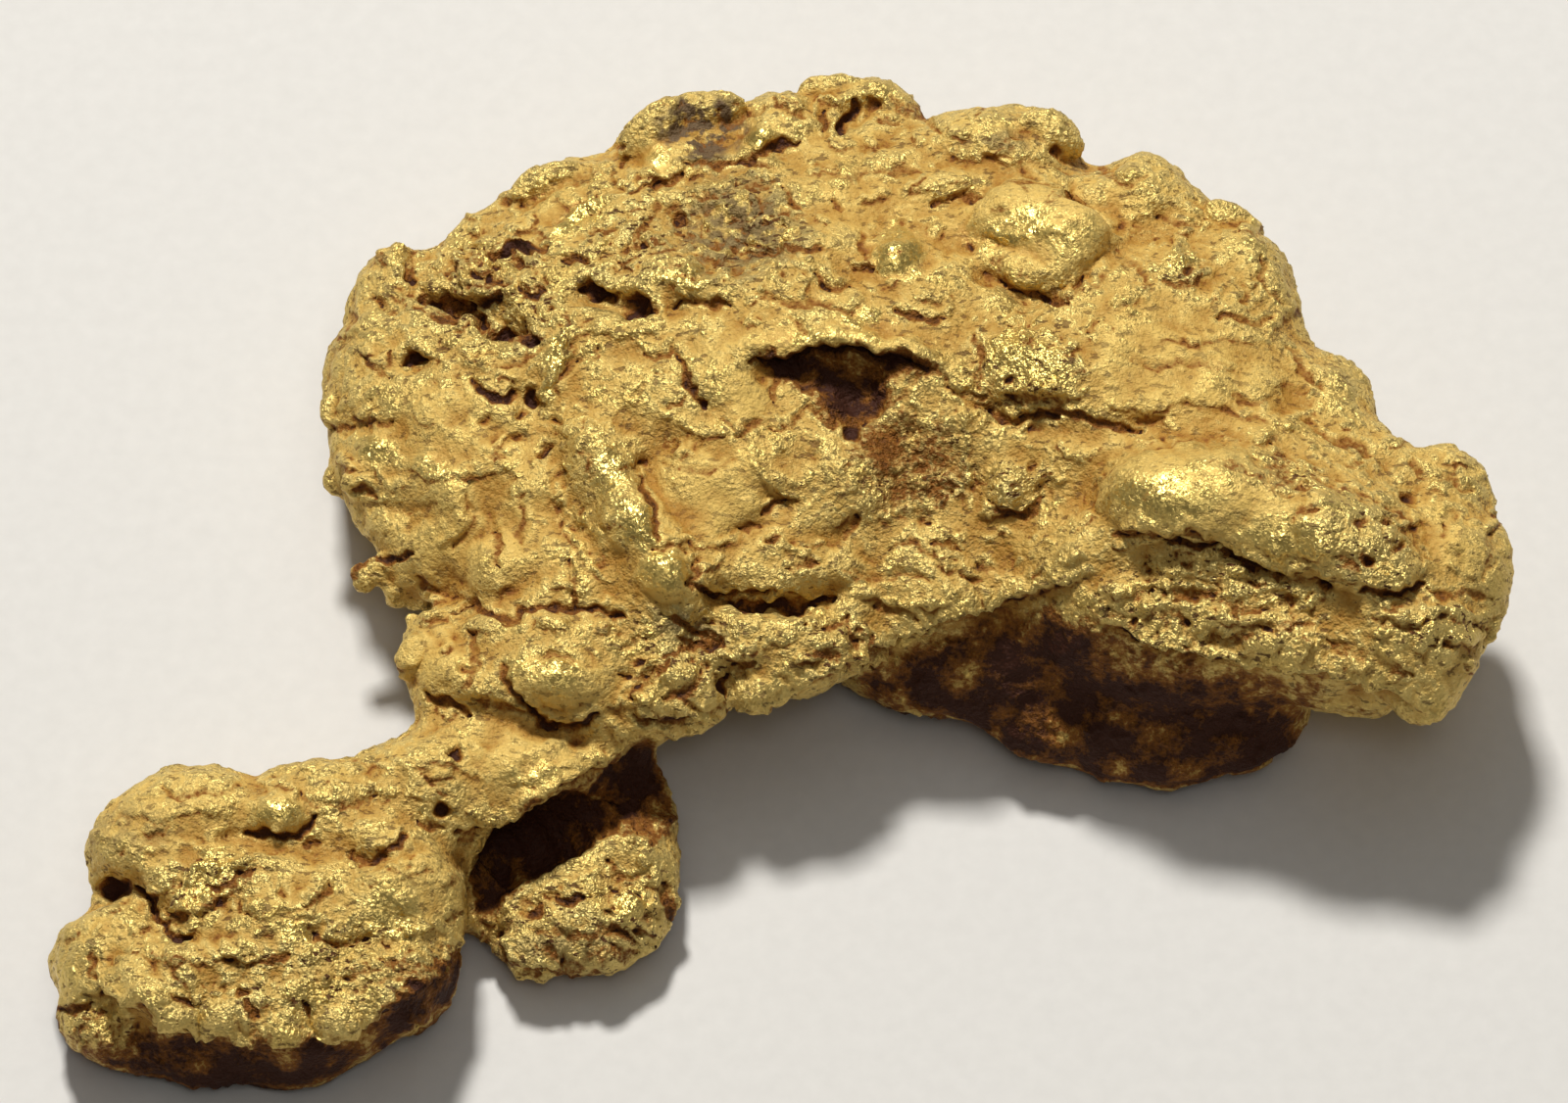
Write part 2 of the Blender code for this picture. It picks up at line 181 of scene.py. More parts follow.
# Random flake edges: how many are tried, the share of them that is drawn on any skin and
# what rough skin adds to it, half their length in pixels, how far they turn in radians and
# sag as a share of half their length, and the width of their ramp and their rise in mm
FLAKE_SEED = 11
FLAKE_EDGES = 900
FLAKES_PLAIN = 0.05
FLAKES_ROUGH = 0.7
FLAKE_HALF_LENGTH = (5, 20)
FLAKE_TURN = 0.5
FLAKE_SAG = (-0.2, 0.7)
FLAKE_RAMP = (0.6, 1.4)
FLAKE_RISE = (0.08, 0.24)

# Random crumbs: how many are tried, half their length in pixels, how tall they are as a
# share of their length, how far they turn in degrees, and their rise in mm. On skin rougher
# than PITTED_ROUGHNESS some are pits, and CRUMB_PITS says how fast their share grows.
CRUMB_SEED = 5
CRUMBS = 1500
CRUMB_HALF_LENGTH = (4, 11)
CRUMB_FLATNESS = (0.5, 0.9)
CRUMB_TURN = 50
CRUMB_RISE = (0.08, 0.24)
CRUMB_PIT = (-0.4, -0.16)
CRUMB_PITS = 0.5
PITTED_ROUGHNESS = 0.5

# The depth in a crevice or a valley is measured from the skin evened out this many times
WEAR_STEPS = {"crevice": 3, "valley": 14}

# The gold's colours: bare silver-rich gold from redder to paler, what the bosses show, the
# film of clay from deep to high (its deep end, in valleys, is partly painted shade), the grey
# stain, the painted speck shadows, and the thin and thick clay, which also paint shade and shadow
BARE_GOLD = ("#D8B45A", "#E6D28A")
POLISHED_GOLD = "#E8C970"
CLAY_FILM = ("#AE7E30", "#DFBA62")
STAIN = "#6E573A"
SPECK_SHADOW_COLOUR = "#5A3410"
THIN_CLAY_AND_SHADE = "#8C5616"
THICK_CLAY_AND_SHADE = "#3E1C08"

# Sizes of the gold's patterns. Real nicks, grains, leaves, facets and the shadows between
# grains are mostly finer than 0.1 mm. They are drawn coarser here, as coarse as they need to
# show. Specks are painted shadows between grains, longer along the axis that SPECK_STRETCH
# holds below 1.
DRIFT_SIZE = 2.5 * MM
MOTTLE_SIZE = 0.34 * MM
BLOTCH_SIZE = 1.0 * MM
SPECK_SIZE = 0.42 * MM
SPECK_STRETCH = (0.55, 1.0, 1.0)
NICK_SIZE = 0.26 * MM
GRAIN_SIZE = 0.36 * MM
LEAF_SIZE = 0.6 * MM
LEAF_RAGGED = 0.3 * MM
FACET_SIZE = 0.24 * MM

# The film of clay: where it starts from, and what each pattern adds. It covers nothing at 0
# and everything at 1.
FILM_PLAIN = -1.1
FILM_SHARES = {
    "drift": 2.2,
    "valley": 0.4,
    "rough skin": -0.7,
    "mottling": 2.0,
    "rough crest": -0.95,
    "polish": -0.8,
}

# How far the mottling varies the film's colour and the iron clay and painted shade, how far
# the drift breaks them up, and the share of painted speck shadows on smooth skin
TAN_MOTTLE = 1.2
CLAY_MOTTLE = 0.8
CLAY_PATCHINESS = 2.6
SPECK_SHADOWS_PLAIN = 0.3

# The metal and its roughness where it is bare and where it is covered, what polish adds to
# the roughness, and how strongly the cover reflects
METALLIC = (0.82, 0.12)
ROUGHNESS = (0.5, 0.72)
POLISH = -0.22
SPECULAR_LEVEL = 0.3

# Heights in mm of the relief that is finer than the mesh, and how much of it polish takes
# away. Grains stand out more where the drift is high. Facets rise by their tilt.
BUMP = {
    "nicks": 0.1,
    "nicks on rough skin": 0.12,
    "grains": -0.1,
    "speck shadows": -0.05,
    "thick clay and shade": -0.1,
    "leaves": 0.17,
    "leaves under film": -0.09,
}
DRIFTING_GRAINS = 0.5
POLISHED_AWAY = -0.5
FACET_TILT = 0.7

# The studio: for each light its azimuth and elevation in degrees, its distance and size in
# metres and its power in watts. Azimuth is counted from the back, +Y, to the left.
LIGHTS = {
    "key": (14, 58, 1.0, 0.14, 10.4),
    "sky": (0, 84, 1.2, 1.2, 2.0),
    "fill": (190, 64, 1.2, 0.35, 1.3),
}
SURROUNDINGS = "#E8E6E2"
SURROUNDINGS_STRENGTH = 0.05
PAPER_SIZE = 4
PAPER = ("#D8D4CC", "#E2DED6")
PAPER_ROUGHNESS = 0.9
PAPER_FIBRE = MM / 0.9

# Ridges (rise above 0) and crevices (below 0): the spots that a line runs through, its
# half width and its rise in mm
UPPER_LEFT_LINES = {
    "shiny_ridge": ([(567, 238), (588, 220), (608, 203)], 0.55, 0.34),
    "fold_crack": ([(507, 258), (516, 251), (525, 250), (536, 254), (546, 254), (560, 251)], 0.36, -0.4),
    "inner_fold_shade": ([(486, 274), (493, 281), (503, 279), (508, 270)], 0.3, -0.36),
    "middle_fold_shade": ([(495, 287), (505, 291), (513, 285)], 0.3, -0.36),
    "fold_foot_crevice": ([(488, 308), (500, 308), (515, 303)], 0.36, -0.42),
    "fold_cavity_arm": ([(425, 316), (453, 325), (478, 324), (497, 320)], 0.36, -0.3),
    "cavity_scar": ([(462, 341), (479, 335)], 0.3, -0.24),
    "crescent": ([(498, 334), (514, 343), (543, 348)], 0.36, -0.3),
    "button_crescent": ([(529, 292), (536, 300), (546, 302), (558, 295)], 0.3, -0.4),
    "button_ridge": ([(537, 306), (540, 328)], 0.43, 0.18),
    "shoulder_groove": ([(423, 251), (421, 274), (417, 290)], 0.36, -0.27),
    "shoulder_ridge": ([(408, 266), (407, 282), (410, 296)], 0.43, 0.18),
    "rim_notch": ([(380, 304), (392, 312), (405, 318)], 0.43, -0.33),
    "dotted_crevice": ([(371, 366), (382, 375), (394, 386)], 0.29, -0.21),
    "rim_crevice": ([(338, 435), (350, 434), (362, 436)], 0.29, -0.21),
    "rim_crevice_upper": ([(374, 437), (379, 424)], 0.29, -0.21),
    "rim_crevice_right": ([(385, 431), (403, 430)], 0.29, -0.21),
    "left_crescent": ([(479, 385), (490, 397), (506, 406), (516, 408), (527, 400)], 0.4, -0.45),
    "left_slit": ([(486, 361), (506, 361)], 0.29, -0.21),
    "fold_ridge": ([(575, 339), (573, 366), (560, 384), (557, 401)], 0.5, 0.24),
    "fold_ridge_shade": ([(586, 345), (584, 368), (573, 389), (568, 402)], 0.36, -0.15),
    "fold_curve": ([(587, 368), (602, 363), (614, 355)], 0.3, -0.25),
    "fold_scar": ([(656, 360), (680, 363), (688, 352)], 0.3, -0.24),
    "flake_slot": ([(691, 364), (698, 378), (703, 393), (719, 413)], 0.36, -0.42),
    "flake_slot_hook": ([(680, 411), (690, 413), (698, 407)], 0.3, -0.25),
    "slab_slit": ([(597, 217), (612, 218)], 0.29, -0.21),
    "slab_slit_lower": ([(602, 238), (614, 235), (625, 233)], 0.29, -0.21),
    "slab_crevice": ([(570, 267), (582, 264), (594, 261), (602, 270)], 0.36, -0.48),
    "pit_trail": ([(643, 405), (660, 393)], 0.32, -0.24),
    "pocket_link": ([(628, 300), (640, 308)], 0.29, -0.18),
    "shelf_line": ([(440, 392), (470, 378), (515, 372), (560, 352)], 0.5, -0.12),
    "shelf_ridge": ([(430, 410), (455, 440), (480, 448), (510, 470)], 0.65, 0.13),
    "slab_back_crease": ([(530, 215), (556, 196), (590, 182), (625, 170)], 0.43, -0.15),
    "slab_front_crease": ([(640, 262), (652, 240), (664, 218), (672, 205)], 0.36, -0.18),
}
CROWN_LINES = {
    "plate_top_crease": ([(699, 168), (722, 164), (735, 169), (749, 164)], 0.3, -0.27),
    "plate_end_crease": ([(752, 166), (773, 159), (796, 146), (815, 144)], 0.36, -0.39),
    "plate_left_crease": ([(698, 176), (681, 187), (662, 193)], 0.32, -0.3),
    "curl_ring": ([(832, 114), (837, 104), (850, 105), (853, 123), (845, 142)], 0.36, 0.21),
    "curl_inside": ([(841, 114), (843, 126), (838, 136)], 0.3, -0.27),
    "knob_cavity": ([(854, 137), (863, 122), (866, 117), (876, 104)], 0.4, -0.42),
    "knob_crevice": ([(900, 124), (918, 122)], 0.29, -0.21),
    "diagonal_crevice": ([(798, 191), (808, 202), (817, 213)], 0.3, -0.25),
    "middle_slot": ([(848, 204), (861, 211)], 0.3, -0.25),
    "strong_crack": ([(950, 206), (977, 202), (1006, 200)], 0.36, -0.39),
    "boss_rim": ([(902, 284), (914, 288), (931, 284), (941, 272)], 0.36, 0.15),
    "boss_pit_arms": ([(832, 281), (842, 290), (856, 293), (871, 291)], 0.3, -0.25),
    "boss_foot_crevice": ([(912, 314), (930, 322), (946, 327), (968, 322)], 0.32, -0.3),
    "bright_fold": ([(666, 279), (684, 287), (704, 291), (743, 284)], 0.43, 0.21),
    "bright_fold_crevice": ([(690, 312), (707, 307), (726, 308), (746, 312)], 0.32, -0.3),
    "slanting_slit": ([(808, 325), (817, 332), (825, 343)], 0.3, -0.24),
    "crown_fold_crease": ([(730, 108), (745, 128), (760, 118), (783, 108)], 0.36, -0.21),
    "crown_back_crease": ([(800, 100), (812, 112), (822, 118)], 0.32, -0.24),
    "crown_right_crease": ([(905, 96), (922, 110), (940, 118), (960, 132)], 0.36, -0.24),
    "crown_shelf_crease": ([(830, 170), (860, 178), (900, 172), (940, 178)], 0.43, -0.18),
    "crown_step": ([(700, 200), (735, 196), (770, 190), (790, 184)], 0.36, -0.18),
    "boss_side_crease": ([(880, 240), (884, 262), (892, 280)], 0.36, -0.18),
    "middle_line": ([(770, 300), (800, 308), (840, 310), (872, 318)], 0.36, -0.17),
    "middle_ridge": ([(760, 262), (800, 270), (830, 262)], 0.65, 0.12),
}
UPPER_RIGHT_LINES = {
    "boss_front_crevice": ([(1012, 265), (1031, 289), (1052, 300), (1075, 307), (1094, 307)], 0.36, -0.33),
    "boss_front_notch": ([(1096, 300), (1106, 286)], 0.32, -0.33),
    "boss_crest": ([(1008, 240), (1036, 246), (1070, 243), (1098, 236)], 0.58, 0.15),
    "boss_back_crease": ([(985, 196), (1015, 192), (1060, 196), (1096, 208)], 0.36, -0.18),
    "shoulder_back_line": ([(1110, 150), (1128, 172), (1150, 186), (1168, 180)], 0.36, -0.21),
    "slope_crack": ([(1239, 322), (1253, 323), (1276, 328), (1303, 324)], 0.3, -0.27),
    "glitter_crevice": ([(1107, 340), (1124, 329)], 0.3, -0.24),
    "rough_spot_edge": ([(1184, 288), (1205, 290), (1226, 282)], 0.32, -0.21),
    "shelf_crease": ([(1140, 360), (1180, 372), (1222, 368), (1260, 378)], 0.43, -0.13),
    "shelf_crease_upper": ([(1148, 262), (1166, 276), (1172, 300)], 0.36, -0.15),
    "shoulder_crease": ([(1180, 222), (1204, 230), (1232, 226)], 0.36, -0.18),
    "shoulder_ridge_line": ([(1160, 196), (1190, 204), (1214, 214)], 0.5, 0.15),
    "glitter_left_crease": ([(996, 340), (1002, 368), (998, 396)], 0.36, -0.21),
    "glitter_lower_crease": ([(1004, 418), (1040, 408), (1086, 412)], 0.32, -0.21),
    "flank_crease": ([(1286, 262), (1292, 290), (1310, 308)], 0.36, -0.18),
    "flank_crease_lower": ([(1316, 350), (1330, 376), (1352, 398)], 0.36, -0.18),
    "flank_slit": ([(1255, 404), (1275, 410), (1298, 406)], 0.29, -0.18),
}
LOWER_LEFT_LINES = {
    "spur_notch": ([(360, 505), (372, 500), (384, 508)], 0.4, -0.3),
    "knob_foot_crevice": ([(378, 566), (392, 570), (406, 571), (423, 565)], 0.36, -0.36),
    "lower_spur_crease": ([(352, 594), (362, 584), (377, 570)], 0.32, -0.24),
    "drape_edge": ([(463, 509), (471, 527), (464, 542), (452, 553)], 0.5, 0.18),
    "drape_edge_shade": ([(475, 506), (484, 527), (477, 545), (464, 560)], 0.36, -0.18),
    "drape_fold": ([(498, 561), (504, 584)], 0.43, 0.18),
    "drape_groove": ([(509, 541), (512, 562), (511, 584)], 0.3, -0.24),
    "drape_slit": ([(500, 466), (518, 466)], 0.29, -0.21),
    "red_pit_arm": ([(545, 464), (553, 459), (562, 454)], 0.32, -0.27),
    "deep_drape_line": ([(582, 569), (585, 593), (590, 620)], 0.36, -0.27),
    "ridge_edge": ([(649, 490), (655, 506), (663, 520), (670, 535), (669, 552)], 0.32, -0.3),
    "ridge_crest": ([(612, 462), (631, 491), (638, 515), (649, 531), (660, 552)], 0.8, 0.1),
    "seam": ([(462, 631), (483, 616), (504, 629), (522, 634), (537, 620), (565, 621), (593, 621),
              (626, 624), (640, 629)], 0.32, -0.3),
    "seam_end": ([(634, 662), (648, 655), (663, 649)], 0.3, -0.27),
    "lump_left_edge": ([(513, 676), (519, 698), (530, 711), (545, 726)], 0.36, -0.33),
    "lump_top_groove": ([(558, 667), (572, 671), (586, 676)], 0.3, -0.24),
    "lump_crease": ([(630, 687), (640, 690), (654, 692), (670, 681)], 0.3, -0.25),
    "lump_crease_right": ([(671, 672), (690, 664), (706, 662), (719, 656)], 0.3, -0.25),
    "foot_knob_crease": ([(478, 640), (486, 664), (482, 690), (470, 706)], 0.36, -0.21),
    "left_belt": ([(395, 512), (420, 520), (444, 512)], 0.36, -0.15),
    "left_waist_crease": ([(425, 590), (440, 602), (462, 600)], 0.32, -0.21),
    "plate_left_line": ([(598, 452), (606, 470), (604, 490)], 0.36, -0.15),
    "drape_wrinkle": ([(530, 500), (536, 530), (532, 556)], 0.36, -0.12),
    "boss_right_shade": ([(706, 572), (712, 588), (706, 604)], 0.36, -0.3),
    "boss_top_crease": ([(664, 560), (684, 556), (702, 563)], 0.29, -0.18),
    "plate_crease": ([(676, 470), (700, 480), (730, 478), (750, 470)], 0.36, -0.13),
}
BASIN_LINES = {
    "brow_edge": ([(762, 367), (790, 369), (823, 359), (859, 354), (894, 364), (922, 364),
                   (950, 372), (974, 401)], 0.36, -0.3),
    "brow_crest": ([(762, 352), (790, 354), (823, 345), (859, 341), (894, 350), (925, 350),
                    (958, 362)], 0.5, 0.18),
    "tab_edge": ([(789, 388), (792, 398), (789, 412)], 0.32, -0.24),
    "tab_ledge": ([(748, 448), (769, 432), (785, 434), (800, 436), (824, 414)], 0.36, -0.24),
    "floor_shade": ([(824, 411), (842, 428), (858, 433)], 0.36, -0.21),
    "floor_shade_right": ([(882, 430), (908, 408), (930, 392), (948, 374)], 0.36, -0.21),
    "wall_edge": ([(971, 400), (984, 427), (987, 446), (986, 469), (990, 520)], 0.43, 0.18),
    "wall_crease": ([(970, 402), (988, 404), (1007, 404)], 0.3, -0.25),
    "strong_step": ([(1010, 418), (1020, 426), (1032, 428), (1056, 425), (1081, 424)], 0.36, -0.39),
    "squiggle_ridge": ([(766, 467), (777, 483), (787, 502), (801, 503)], 0.4, 0.21),
    "squiggle_shade": ([(803, 508), (790, 517), (776, 525)], 0.32, -0.3),
    "plate_crevice": ([(756, 543), (766, 537), (778, 534)], 0.3, -0.25),
    "floor_crevice": ([(875, 525), (869, 536), (864, 548)], 0.3, -0.25),
    "far_crevice": ([(952, 552), (968, 554), (979, 562)], 0.3, -0.25),
    "far_slit": ([(998, 574), (1015, 584)], 0.29, -0.21),
    "far_slit_left": ([(980, 588), (1000, 593)], 0.29, -0.21),
    "cave_brow_slit": ([(801, 578), (818, 576), (839, 576)], 0.3, -0.25),
    "cave_top": ([(702, 595), (716, 602), (740, 604), (761, 604), (783, 598)], 0.36, -0.36),
    "cave_middle": ([(745, 613), (768, 621), (790, 616), (812, 622), (835, 613), (851, 612)], 0.42, -0.4),
    "floor_scratch": ([(892, 452), (912, 460), (936, 458)], 0.3, -0.18),
    "floor_scratch_lower": ([(900, 492), (922, 500), (950, 496), (972, 504)], 0.32, -0.19),
    "floor_ridge": ([(884, 470), (910, 478), (940, 474), (962, 480)], 0.43, 0.15),
    "basin_lump_foot": ([(1008, 512), (1026, 524), (1050, 522), (1066, 508)], 0.32, -0.25),
    "lip_top_crease": ([(860, 580), (890, 590), (920, 584), (950, 592)], 0.36, -0.18),
    "inner_lip_line": ([(905, 560), (930, 552), (948, 566)], 0.3, -0.18),
    "tab_bottom": ([(738, 430), (752, 436), (768, 428)], 0.32, -0.18),
}
RIGHT_BOSS_LINES = {
    "step_left": ([(1040, 424), (1065, 423), (1083, 418), (1111, 428), (1130, 431), (1152, 441),
                   (1163, 437)], 0.32, -0.3),
    "step_right": ([(1161, 431), (1174, 428), (1186, 428)], 0.3, -0.24),
    "boss_outline": ([(1122, 526), (1119, 502), (1127, 487), (1142, 477), (1183, 461), (1224, 446),
                      (1262, 444), (1295, 456)], 0.4, -0.09),
    "boss_outline_right": ([(1295, 456), (1316, 469), (1331, 484), (1362, 501), (1395, 507), (1420, 522),
                            (1436, 536), (1446, 554), (1453, 572), (1455, 595)], 0.36, -0.12),
    "boss_lower_edge": ([(1136, 543), (1160, 544), (1183, 543), (1219, 541), (1240, 548)], 0.32, -0.24),
    "boss_undercut": ([(1192, 549), (1215, 555), (1240, 557)], 0.36, -0.36),
    "deep_undercut": ([(1243, 563), (1262, 566), (1279, 578), (1297, 582)], 0.4, -0.42),
    "second_boss_edge": ([(1271, 551), (1285, 570), (1302, 577), (1320, 580), (1347, 578)], 0.36, 0.18),
    "hook_crevice": ([(1317, 535), (1328, 526), (1342, 531)], 0.3, -0.25),
    "boss_crack": ([(1294, 466), (1305, 468), (1314, 467)], 0.29, -0.24),
    "patch_crevice": ([(1361, 566), (1372, 575), (1383, 581), (1390, 588)], 0.3, -0.25),
    "end_crevice": ([(1388, 603), (1402, 604), (1416, 603), (1444, 601), (1456, 594)], 0.4, -0.42),
    "boss_crease": ([(1230, 482), (1262, 486), (1290, 500), (1312, 512)], 0.36, -0.13),
    "boss_dimple_line": ([(1150, 500), (1168, 506), (1190, 502)], 0.32, -0.12),
    "shelf_foot": ([(1330, 428), (1352, 444), (1380, 452), (1402, 468)], 0.36, -0.18),
    "wall_crease": ([(1130, 620), (1156, 628), (1188, 622), (1214, 632)], 0.36, -0.21),
    "wall_crease_right": ([(1236, 604), (1256, 616), (1286, 622), (1312, 618)], 0.36, -0.21),
    "wall_crease_low": ([(1250, 648), (1280, 642), (1310, 636), (1340, 640)], 0.36, -0.18),
    "wall_upright": ([(1170, 574), (1176, 590), (1172, 606)], 0.3, -0.21),
}
TIP_LINES = {
    "ring_knob": ([(1466, 524), (1485, 516), (1492, 530), (1489, 550), (1476, 562)], 0.36, 0.15),
    "ring_knob_inside": ([(1470, 532), (1479, 538), (1474, 550)], 0.3, -0.18),
    "tip_crease": ([(1458, 600), (1478, 608), (1500, 604), (1520, 612)], 0.36, -0.24),
    "tip_crease_low": ([(1400, 628), (1424, 640), (1450, 640)], 0.36, -0.24),
    "tip_fold": ([(1440, 610), (1462, 622), (1490, 624), (1514, 634)], 0.43, 0.18),
    "tip_back_crease": ([(1440, 472), (1458, 486), (1484, 490), (1506, 502)], 0.36, -0.18),
    "tip_slit": ([(1376, 472), (1392, 473)], 0.29, -0.21),
    "tip_end_crease": ([(1520, 540), (1524, 564), (1516, 590)], 0.36, -0.18),
    "tip_low_crease": ([(1352, 652), (1384, 664), (1416, 672), (1440, 690)], 0.36, -0.21),
}
LIP_LINES = {
    "lip_pit_arm": ([(707, 655), (722, 652), (742, 660)], 0.36, -0.3),
    "lip_cleft": ([(742, 690), (737, 702), (734, 716)], 0.36, -0.45),
    "lip_hook": ([(716, 681), (708, 699), (702, 707), (687, 712), (676, 712)], 0.32, -0.3),
    "lip_fold_line": ([(682, 673), (669, 690), (653, 702), (646, 716)], 0.36, -0.33),
    "lip_overlap": ([(672, 625), (687, 631), (702, 640), (718, 646), (735, 650)], 0.3, -0.25),
    "lip_red_crevice": ([(656, 656), (668, 648)], 0.3, -0.24),
    "lip_left_crevice": ([(623, 625), (641, 632)], 0.29, -0.21),
    "lip_low_crevice": ([(645, 730), (657, 735), (679, 731), (703, 730)], 0.32, -0.33),
    "lip_small_crevice": ([(746, 681), (760, 680), (771, 673)], 0.3, -0.24),
    "lip_right_crevice": ([(840, 639), (855, 637), (870, 629)], 0.32, -0.3),
    "lip_far_crevice": ([(893, 619), (914, 620), (939, 627)], 0.3, -0.25),
    "lip_under_ridge": ([(827, 665), (844, 668), (862, 670)], 0.3, -0.24),
    "lip_bright_ridge": ([(788, 688), (806, 676), (826, 668), (843, 668)], 0.43, 0.18),
    "lip_fold_crest": ([(634, 706), (652, 692), (672, 672)], 0.43, 0.18),
    "lip_tier": ([(690, 722), (712, 724), (730, 718)], 0.36, 0.15),
    "lip_upright": ([(861, 640), (868, 656), (864, 672)], 0.32, -0.3),
    "lip_upright_right": ([(884, 646), (880, 664), (888, 684)], 0.32, -0.3),
    "lip_face_crease": ([(930, 640), (960, 652), (990, 650)], 0.36, -0.21),
}
TOE_LINES = {
    "seam_left": ([(430, 707), (442, 713), (455, 716), (466, 722), (478, 731)], 0.36, -0.36),
    "seam_middle": ([(484, 713), (501, 718), (519, 723), (536, 727)], 0.3, -0.24),
    "seam_dark": ([(530, 709), (545, 726), (556, 738), (572, 743), (592, 738), (612, 729)], 0.43, -0.48),
    "neck_hole_arm": ([(428, 839), (440, 841), (453, 845)], 0.32, -0.27),
    "neck_crevice": ([(384, 872), (397, 866), (408, 859), (417, 851)], 0.32, -0.3),
    "neck_notch": ([(464, 851), (475, 850), (489, 844)], 0.36, -0.36),
    "neck_notch_low": ([(468, 861), (478, 858), (487, 852)], 0.3, -0.27),
    "neck_rim_crevice": ([(532, 833), (540, 820), (552, 810)], 0.3, -0.27),
    "neck_drape": ([(480, 760), (505, 772), (540, 770), (580, 756)], 0.58, 0.13),
    "neck_rim": ([(520, 800), (552, 790), (585, 778), (612, 770)], 0.5, 0.18),
    "neck_long_fold": ([(420, 780), (445, 800), (462, 812)], 0.43, -0.13),
    "nub_undercut": ([(250, 849), (270, 851), (283, 854), (299, 852), (312, 846), (320, 833)], 0.4, -0.45),
    "step_above": ([(301, 809), (322, 818), (345, 822), (361, 818), (385, 813)], 0.32, -0.21),
    "far_nub_undercut": ([(356, 867), (366, 877), (380, 880), (395, 873)], 0.36, -0.33),
    "notch_crevice": ([(138, 908), (155, 918), (164, 941), (178, 955), (197, 959)], 0.4, -0.42),
    "glitter_crest": ([(178, 928), (187, 905), (201, 889), (224, 886), (258, 880)], 0.5, 0.21),
    "glitter_foot": ([(172, 929), (187, 935), (204, 936)], 0.32, -0.3),
    "glitter_foot_middle": ([(205, 925), (217, 923), (225, 918)], 0.3, -0.25),
    "glitter_foot_right": ([(209, 903), (223, 906), (235, 905), (243, 896), (261, 889)], 0.3, -0.27),
    "top_crevice": ([(241, 924), (254, 932), (271, 932)], 0.32, -0.29),
    "top_hook": ([(314, 929), (322, 920), (334, 909), (336, 901)], 0.3, -0.27),
    "crack": ([(316, 951), (329, 961), (343, 965), (357, 963), (372, 956)], 0.32, -0.3),
    "corner_slit": ([(115, 869), (128, 866)], 0.29, -0.21),
    "corner_scratch": ([(151, 852), (164, 848), (174, 845)], 0.29, -0.15),
    "top_slits": ([(310, 858), (328, 861)], 0.29, -0.21),
    "side_crevice": ([(57, 1033), (72, 1031), (94, 1023)], 0.36, -0.36),
    "tier_edge": ([(93, 971), (95, 990), (103, 1003)], 0.36, -0.27),
    "edge_crevice_left": ([(174, 1016), (187, 1021), (200, 1024)], 0.36, -0.36),
    "edge_crevice_middle": ([(252, 1029), (268, 1036)], 0.32, -0.3),
    "edge_cleft": ([(311, 1022), (316, 1034), (313, 1046)], 0.36, -0.36),
    "edge_strata": ([(330, 1000), (360, 996), (392, 988), (420, 972)], 0.3, -0.18),
    "edge_strata_low": ([(345, 1016), (372, 1010), (400, 996), (428, 984)], 0.3, -0.18),
    "top_left_fold": ([(150, 870), (176, 862), (206, 866), (232, 874)], 0.5, 0.13),
    "slab_line": ([(164, 803), (182, 812), (214, 808), (244, 802)], 0.36, -0.18),
    "right_lobe_crevice": ([(454, 939), (464, 935), (474, 931)], 0.3, -0.25),
    "bottom_crevice": ([(390, 981), (400, 984), (413, 986)], 0.3, -0.25),
    "front_red_line": ([(255, 972), (275, 978), (300, 974)], 0.3, -0.18),
}
HEEL_LINES = {
    "tab_undercut": ([(568, 917), (582, 920), (598, 918)], 0.36, -0.36),
    "tab_crest": ([(572, 908), (590, 898), (612, 890)], 0.43, 0.15),
    "right_cleft": ([(676, 900), (681, 913), (677, 936)], 0.36, -0.33),
    "strata": ([(538, 946), (566, 950), (600, 946), (632, 950)], 0.3, -0.21),
    "strata_low": ([(545, 962), (575, 966), (606, 962), (640, 958)], 0.3, -0.21),
    "top_crease": ([(618, 880), (632, 892), (650, 896), (668, 886)], 0.32, -0.24),
    "end_crease": ([(508, 950), (520, 962), (518, 980)], 0.32, -0.21),
    "lower_notch": ([(530, 982), (541, 978), (552, 982)], 0.32, -0.27),
    "middle_crevice": ([(618, 944), (628, 948), (640, 950)], 0.32, -0.3),
}

